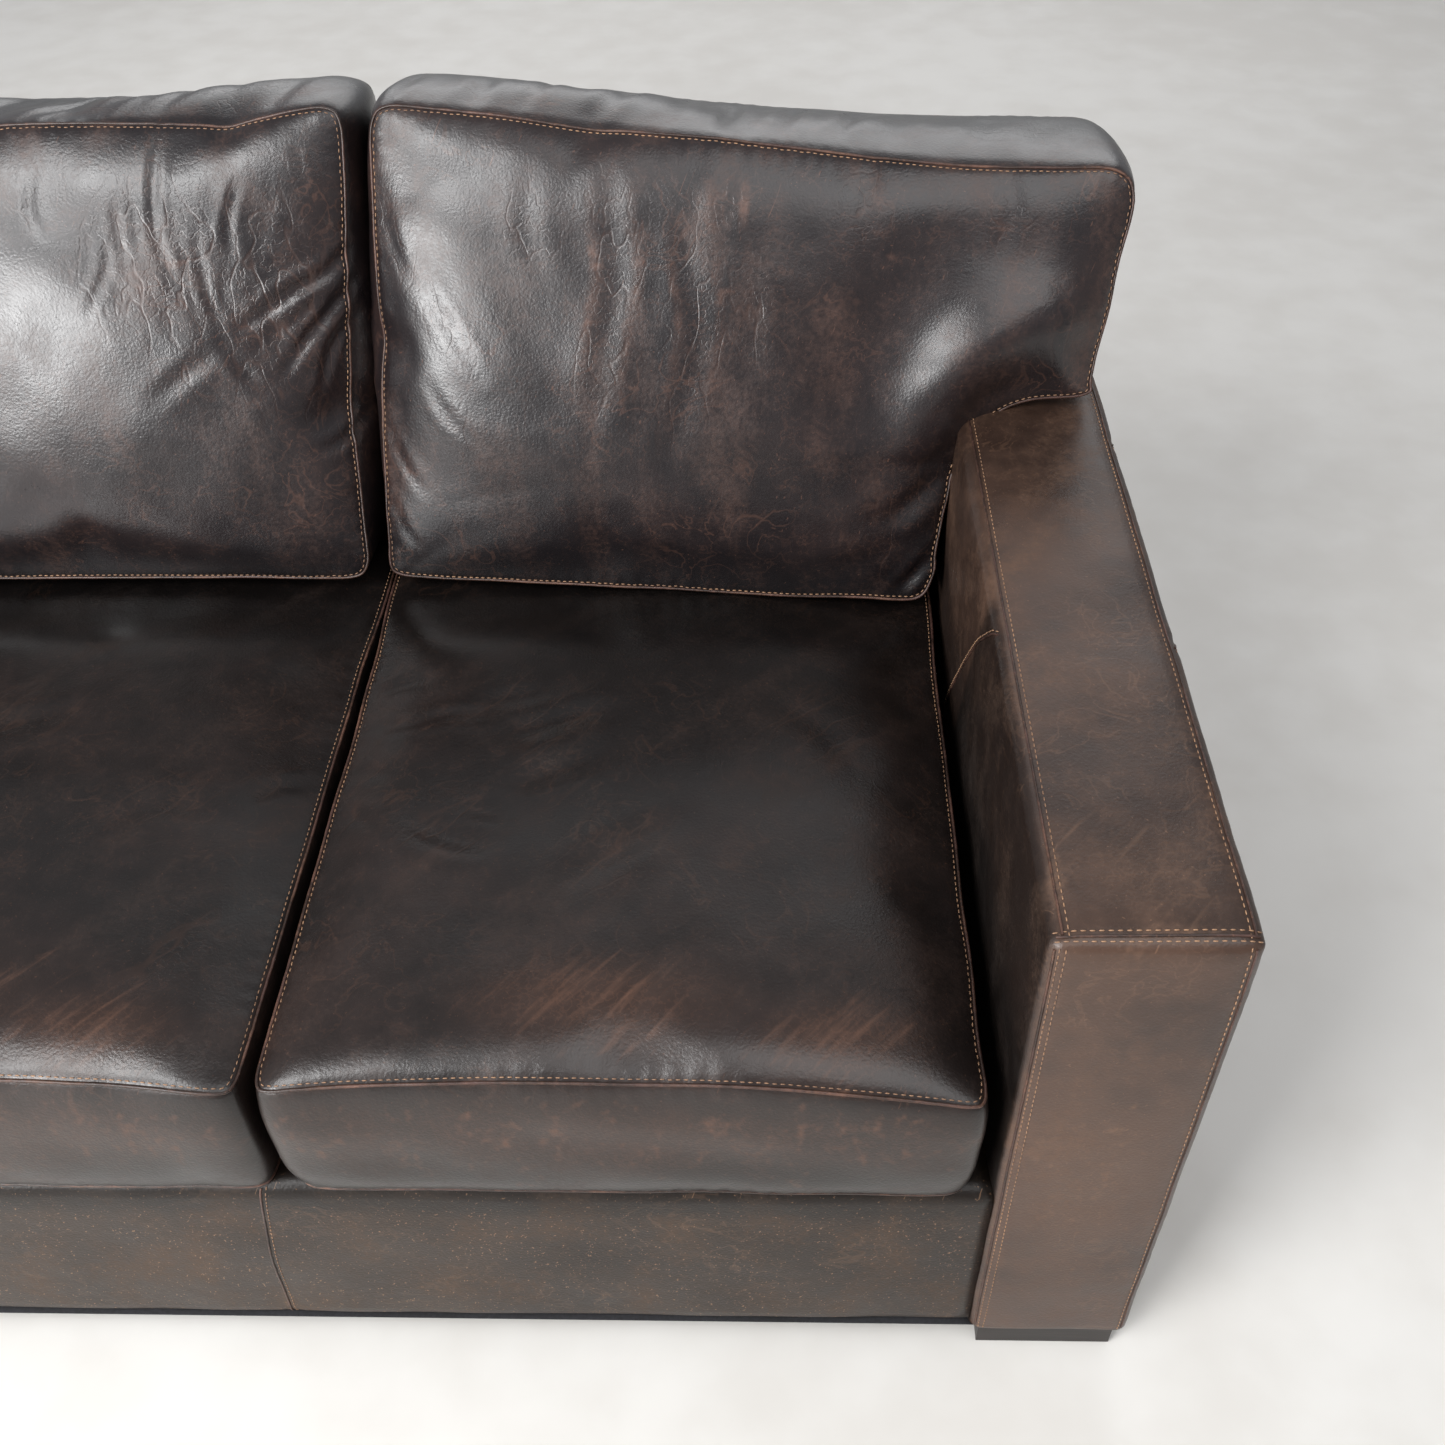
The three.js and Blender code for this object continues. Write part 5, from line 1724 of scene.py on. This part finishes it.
class BaseFront(BentCover):
    """The base's front: leather rolled over the rail, pieced at each seat and hemmed below."""

    def seams(self) -> list[np.ndarray]:
        """Return the curved pieced seams, mirrored."""
        y = BASE_FRONT_Y
        right = smooth_path([(279, y, DECK_Z - 2), (268, y, 215), (260, y, 140), (255, y, HEM_Z + 3)])
        return [right, right * np.array([-1, 1, 1])]

    def detail(self, work: Leatherwork) -> None:
        """Rub the rolled top edge and the hem."""
        work.rub((0, BASE_FRONT_Y, DECK_Z - 12), (1100, 30, 16), 0.2)
        # Darker from a little below the rolled top edge upwards
        work.tone -= 0.55 * smooth(work.points[:, 2], DECK_Z - 48.0, DECK_Z - 22.0)
        work.rub((0, BASE_FRONT_Y, HEM_Z), (1100, 30, 8), 0.5)


@dataclass
class OutsideBack:
    """The flat leather panel behind, pieced in three and stitched along its top."""

    pitch: float = 16.0
    inset: float = 12.0

    def build(self, sewing: Sewing) -> None:
        """Make the panel with its seams, and hand it over."""
        half, low, high = OUTER_HALF - 0.5, HEM_Z, ARM_TOP
        xs = steps_between(-half, half, self.pitch)
        zs = steps_between(low, high, self.pitch)
        grid_x, grid_z = (axis.ravel() for axis in np.meshgrid(xs, zs, indexing="ij"))
        border = np.minimum(half - abs(grid_x), np.minimum(grid_z - low, high - grid_z))
        turned_in = 2.4 * np.sqrt(np.clip(border / 8.0, 0, 1))
        depth = REAR_Y - 3.0 + turned_in + 2.2 * edge_swell(border - 14.0, 60.0)
        points = np.column_stack([grid_x, depth, grid_z])
        made = Sheet(points, grid_quads(len(xs), len(zs))).to_object("outside_back_leather")
        work = Leatherwork(made)
        work.raise_by(0.8 * ripple(points, 150.0, 77))
        seam_x = (-SEAT_LINE_X, SEAT_LINE_X)
        lines = [smooth_path([(x, REAR_Y, low + 3), (x, REAR_Y, high - 3)]) for x in seam_x]
        end, top = half - self.inset, high - self.inset
        frame_line = smooth_path([(-end, REAR_Y, top), (end, REAR_Y, top)])
        for number, line in enumerate([*lines, frame_line]):
            work.press_seam(line, 90 + number, depth=1.2, pucker=0.3)
        rows = [*(line + np.array([5, 0, 0]) for line in lines), frame_line + np.array([0, 0, -5])]
        trim = Trim("outside_back", "outer_leather", "outside_back_panel", OUTER_LEATHER)
        trim.close(work, sewing, [*lines, frame_line], rows)


@dataclass
class LiningCloth:
    """Thin cloth stapled flat: the platform cloth on the deck, or the dust cloth under the frame."""

    node: str
    slot: str
    finish: PlainFinish
    rests_on: tuple[str, ...]
    sag: float
    holes: tuple[str, ...] = ()
    hole_gap: float = 3.0
    pitch: float = 24.0
    thickness: float = 0.9

    def places(self, stops: list[float]) -> np.ndarray:
        """Return grid places at the pitch, with one at each stop."""
        made = [np.array([min(stops)])]
        marks = sorted(set(stops))
        for low, high in zip(marks, marks[1:]):
            made.append(np.linspace(low, high, max(1, round((high - low) / self.pitch)) + 1)[1:])
        return np.concatenate(made)

    def build(self, workshop: Workshop) -> None:
        """Make the cloth, cut round what passes through it, and hand it over."""
        low, high = (np.array(corner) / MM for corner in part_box(self.node))
        cuts = []
        for name in self.holes:
            first, last = (np.array(corner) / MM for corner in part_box(name))
            cuts.append((first - self.hole_gap, last + self.hole_gap))
        xs = self.places([low[0], high[0]] + [float(corner[0]) for cut in cuts for corner in cut])
        ys = self.places([low[1], high[1]] + [float(corner[1]) for cut in cuts for corner in cut])
        index: dict[tuple[int, int], int] = {}
        quads = []
        for a in range(len(xs) - 1):
            for b in range(len(ys) - 1):
                x, y = (xs[a] + xs[a + 1]) / 2, (ys[b] + ys[b + 1]) / 2
                if any(c[0][0] < x < c[1][0] and c[0][1] < y < c[1][1] for c in cuts):
                    continue
                corners = ((a, b), (a + 1, b), (a + 1, b + 1), (a, b + 1))
                quads.append([index.setdefault(corner, len(index)) for corner in corners])
        flat = np.array([[xs[a], ys[b], high[2] - 0.2] for a, b in index])
        border = np.minimum(np.minimum(flat[:, 0] - low[0], high[0] - flat[:, 0]),
                            np.minimum(flat[:, 1] - low[1], high[1] - flat[:, 1]))
        loose = edge_swell(border, 90.0)
        for first, last in cuts:
            away = np.maximum(np.maximum(first - flat, flat - last)[:, :2], 0.0)
            loose = loose * edge_swell(np.linalg.norm(away, axis=1), 60.0)
        flat[:, 2] -= self.sag * loose * (0.75 + 0.25 * ripple(flat, 160.0, 8))
        made = Sheet(flat, np.array(quads)).to_object(f"{self.node}_sheet")
        thicken(made, self.thickness)
        dress(made, workshop.get(self.finish))
        shade_smooth(made)
        hand_over(made, self.slot, self.node)


class Sofa:
    """Puts the sofa together from its sub-assemblies."""

    def __init__(self) -> None:
        """Prepare the materials and the sewing."""
        self.workshop = Workshop()
        self.sewing = Sewing(self.workshop)

    def build_seats(self) -> None:
        """Make the three seat cushions."""
        for place, (name, sign, half, droop, border_shade) in enumerate(SEATS):
            centre = SEAT_PITCH * sign
            left, right = centre - half, centre + half
            corners = [Corner(left - 1, -525, 11), Corner(right + 1, -525, 11), Corner(right + 3, 258, 30),
                       Corner(left - 3, 258, 30)]
            outline = CushionOutline(corners, 27, 35)
            cushion = SeatCushion(f"seat_cushion_{name}", outline, place, centre=centre, droop=droop,
                                  border_shade=border_shade)
            cushion.build(self.sewing, SEAT_LEATHER, "seat_leather", 0.6)

    def build_backs(self) -> None:
        """Make the three back cushions."""
        centre = CushionOutline(list(CENTRE_CORNERS), 33, 24)
        ear = CushionOutline(list(EAR_CORNERS), 33, 24, 7, 11)
        mirrored = [Corner(-c.u, c.v, c.radius, c.lattice) for c in EAR_CORNERS]
        left = CushionOutline([mirrored[k] for k in self.mirror_order(mirrored)], 33, 24, -7, 11)
        for cushion in (
            BackCushion("back_cushion_right", ear, 11, twist=-0.03, folds=EAR_FOLDS,
                        top_span=(360.0, 1040.0)),
            BackCushion("back_cushion_centre", centre, 12, foot_y=112.0, folds=CENTRE_FOLDS,
                        crumples=CENTRE_CRUMPLES),
            BackCushion("back_cushion_left", left, 13, twist=-0.03, folds=EAR_FOLDS,
                        top_span=(370.0, 1040.0), mirror=-1),
        ):
            cushion.build(self.sewing, BACK_LEATHER, "back_leather", 0.75)

    @staticmethod
    def mirror_order(mirrored: list[Corner]) -> list[int]:
        """Return the order that runs a mirrored outline the same way round, from its lower left."""
        backwards = list(range(len(mirrored) - 1, -1, -1))
        low = [k for k in backwards if mirrored[k].lattice and mirrored[k].v < 500]
        lowest = min(low, key=lambda k: mirrored[k].u)
        start = backwards.index(lowest)
        return backwards[start:] + backwards[:start]

    def build_covers(self) -> None:
        """Make the arms, the base front, the inside back and the outside back."""
        for side in Side:
            arm = TrackArm(side)
            arm.build(self.sewing)
            arm.build_foam(self.workshop)
        flap, back = BASE_FRONT_Y + 78, BASE_FRONT_Y + 30
        path = [(back, HEM_Z), (BASE_FRONT_Y, HEM_Z), (BASE_FRONT_Y, DECK_Z), (flap, DECK_Z)]
        base = BaseFront("base_front_leather", "base_front_cover", "base_leather", BASE_LEATHER, path)
        base.build(self.sewing)
        low = 277.0
        back_path = [(float(inside_back_y(low)), low), (BACK_TOP_Y, ARM_TOP), (REAR_Y - 3.2, ARM_TOP)]
        BentCover("inside_back_leather", "back_cover", "outer_leather", OUTER_LEATHER, back_path, bend=20.0,
                  puff=1.5, seed=60).build(self.sewing)
        OutsideBack().build(self.sewing)
        LiningCloth("deck_cloth", "deck_cloth", DECK_CLOTH, ("deck_pad",), 0.7).build(self.workshop)
        legs = ("leg_front_left", "leg_front_right", "leg_rear_left", "leg_rear_right", "leg_centre")
        boards = ("arm_bottom_board_left", "arm_bottom_board_right")
        LiningCloth("dust_cloth", "dust_cloth", DUST_CLOTH, boards, 5.0, legs).build(self.workshop)

    def dress_frame(self) -> None:
        """Give every frame node that stays its finish."""
        by_slot = {
            "frame_timber": FRAME_TIMBER, "dark_wood": DARK_WOOD, "spring_steel": SPRING_STEEL,
            "webbing": WEBBING, "foam": FOAM, "deck_cloth": DECK_CLOTH, "dust_cloth": DUST_CLOTH,
        }
        slots = {part["node"]: part["material_slot"] for part in frame["record"]["subparts"]}
        for name, node in frame["nodes"].items():
            finish = by_slot.get(slots[name])
            if finish:
                dress(node, self.workshop.get(finish))


@dataclass(frozen=True)
class Lamp:
    """A soft area light, with its place, aim and size in metres and its power in watts."""

    name: str
    place: Triple
    aim: Triple
    size: tuple[float, float]
    power: float

    def build(self) -> None:
        """Hang the lamp."""
        data = bpy.data.lights.new(self.name, "AREA")
        data.shape = "RECTANGLE"
        data.size, data.size_y = self.size
        data.energy = self.power
        lamp = bpy.data.objects.new(self.name, data)
        bpy.context.scene.collection.objects.link(lamp)
        turn = (Vector(self.aim) - Vector(self.place)).to_track_quat("-Z", "Y").to_matrix().to_4x4()
        lamp.matrix_world = Matrix.Translation(self.place) @ turn


LAMPS = (
    Lamp("window", (-2.45, -3.3, 1.8), (0.2, 0.1, 0.6), (2.2, 1.3), 230.0),
    Lamp("ceiling", (-1.1, -1.9, 3.1), (0.4, 0.0, 0.4), (1.6, 1.0), 80.0),
    Lamp("rear", (0.6, 3.8, 2.7), (0.1, 0.2, 0.6), (4.4, 2.6), 62.0),
    Lamp("overhead", (1.8, -1.6, 3.8), (1.2, -0.6, 0.0), (2.6, 2.6), 56.0),
)


@dataclass(frozen=True)
class Studio:
    """The pale floor, the soft light and the camera at the photo's place."""

    camera_mm: Triple = (719.0, -1161.0, 1461.0)
    yaw_left: float = 2.33
    pitch_down: float = 43.51
    roll: float = -1.59
    lens_mm: float = 36.96
    floor_half: float = 14.0
    sky: str = "#eceef3"
    sky_strength: float = 0.40

    def build(self, workshop: Workshop) -> None:
        """Make the stage."""
        scene = bpy.context.scene
        scene.view_settings.view_transform = "Standard"
        mesh = bpy.data.meshes.new("floor")
        h = self.floor_half
        mesh.from_pydata([(-h, -h, 0), (h, -h, 0), (h, h, 0), (-h, h, 0)], [], [(0, 1, 2, 3)])
        floor = new_object(mesh)
        dress(floor, workshop.get(CONCRETE))
        scene.world = bpy.data.worlds.new("studio")
        scene.world.use_nodes = True
        background = scene.world.node_tree.nodes["Background"]
        background.inputs["Color"].default_value = linear(self.sky)
        background.inputs["Strength"].default_value = self.sky_strength
        for lamp in LAMPS:
            lamp.build()
        data = bpy.data.cameras.new("camera")
        data.sensor_width = 36.0
        data.lens = self.lens_mm
        data.clip_end = 60.0
        scene.camera = bpy.data.objects.new("camera", data)
        scene.collection.objects.link(scene.camera)
        scene.camera.matrix_world = self.camera_matrix()

    def camera_matrix(self) -> Matrix:
        """Return the camera's place and turn."""
        yaw, pitch, roll = (math.radians(a) for a in (self.yaw_left, self.pitch_down, self.roll))
        ahead = Vector((-math.sin(yaw), math.cos(yaw), 0))
        right = Vector((math.cos(yaw), math.sin(yaw), 0))
        up = Vector((0, 0, 1))
        look = ahead * math.cos(pitch) - up * math.sin(pitch)
        top = ahead * math.sin(pitch) + up * math.cos(pitch)
        side = right * math.cos(roll) + top * math.sin(roll)
        crest = -right * math.sin(roll) + top * math.cos(roll)
        turn = Matrix((side, crest, -look)).transposed().to_4x4()
        return Matrix.Translation(Vector(self.camera_mm) * MM) @ turn


def main() -> None:
    """Build the stage and the sofa in order."""
    logging.basicConfig(level=logging.INFO, format="%(name)s %(message)s")
    sofa = Sofa()
    Studio().build(sofa.workshop)
    sofa.dress_frame()
    sofa.build_covers()
    sofa.build_seats()
    sofa.build_backs()
    bpy.context.view_layer.update()


if __name__ == "__main__":
    main()
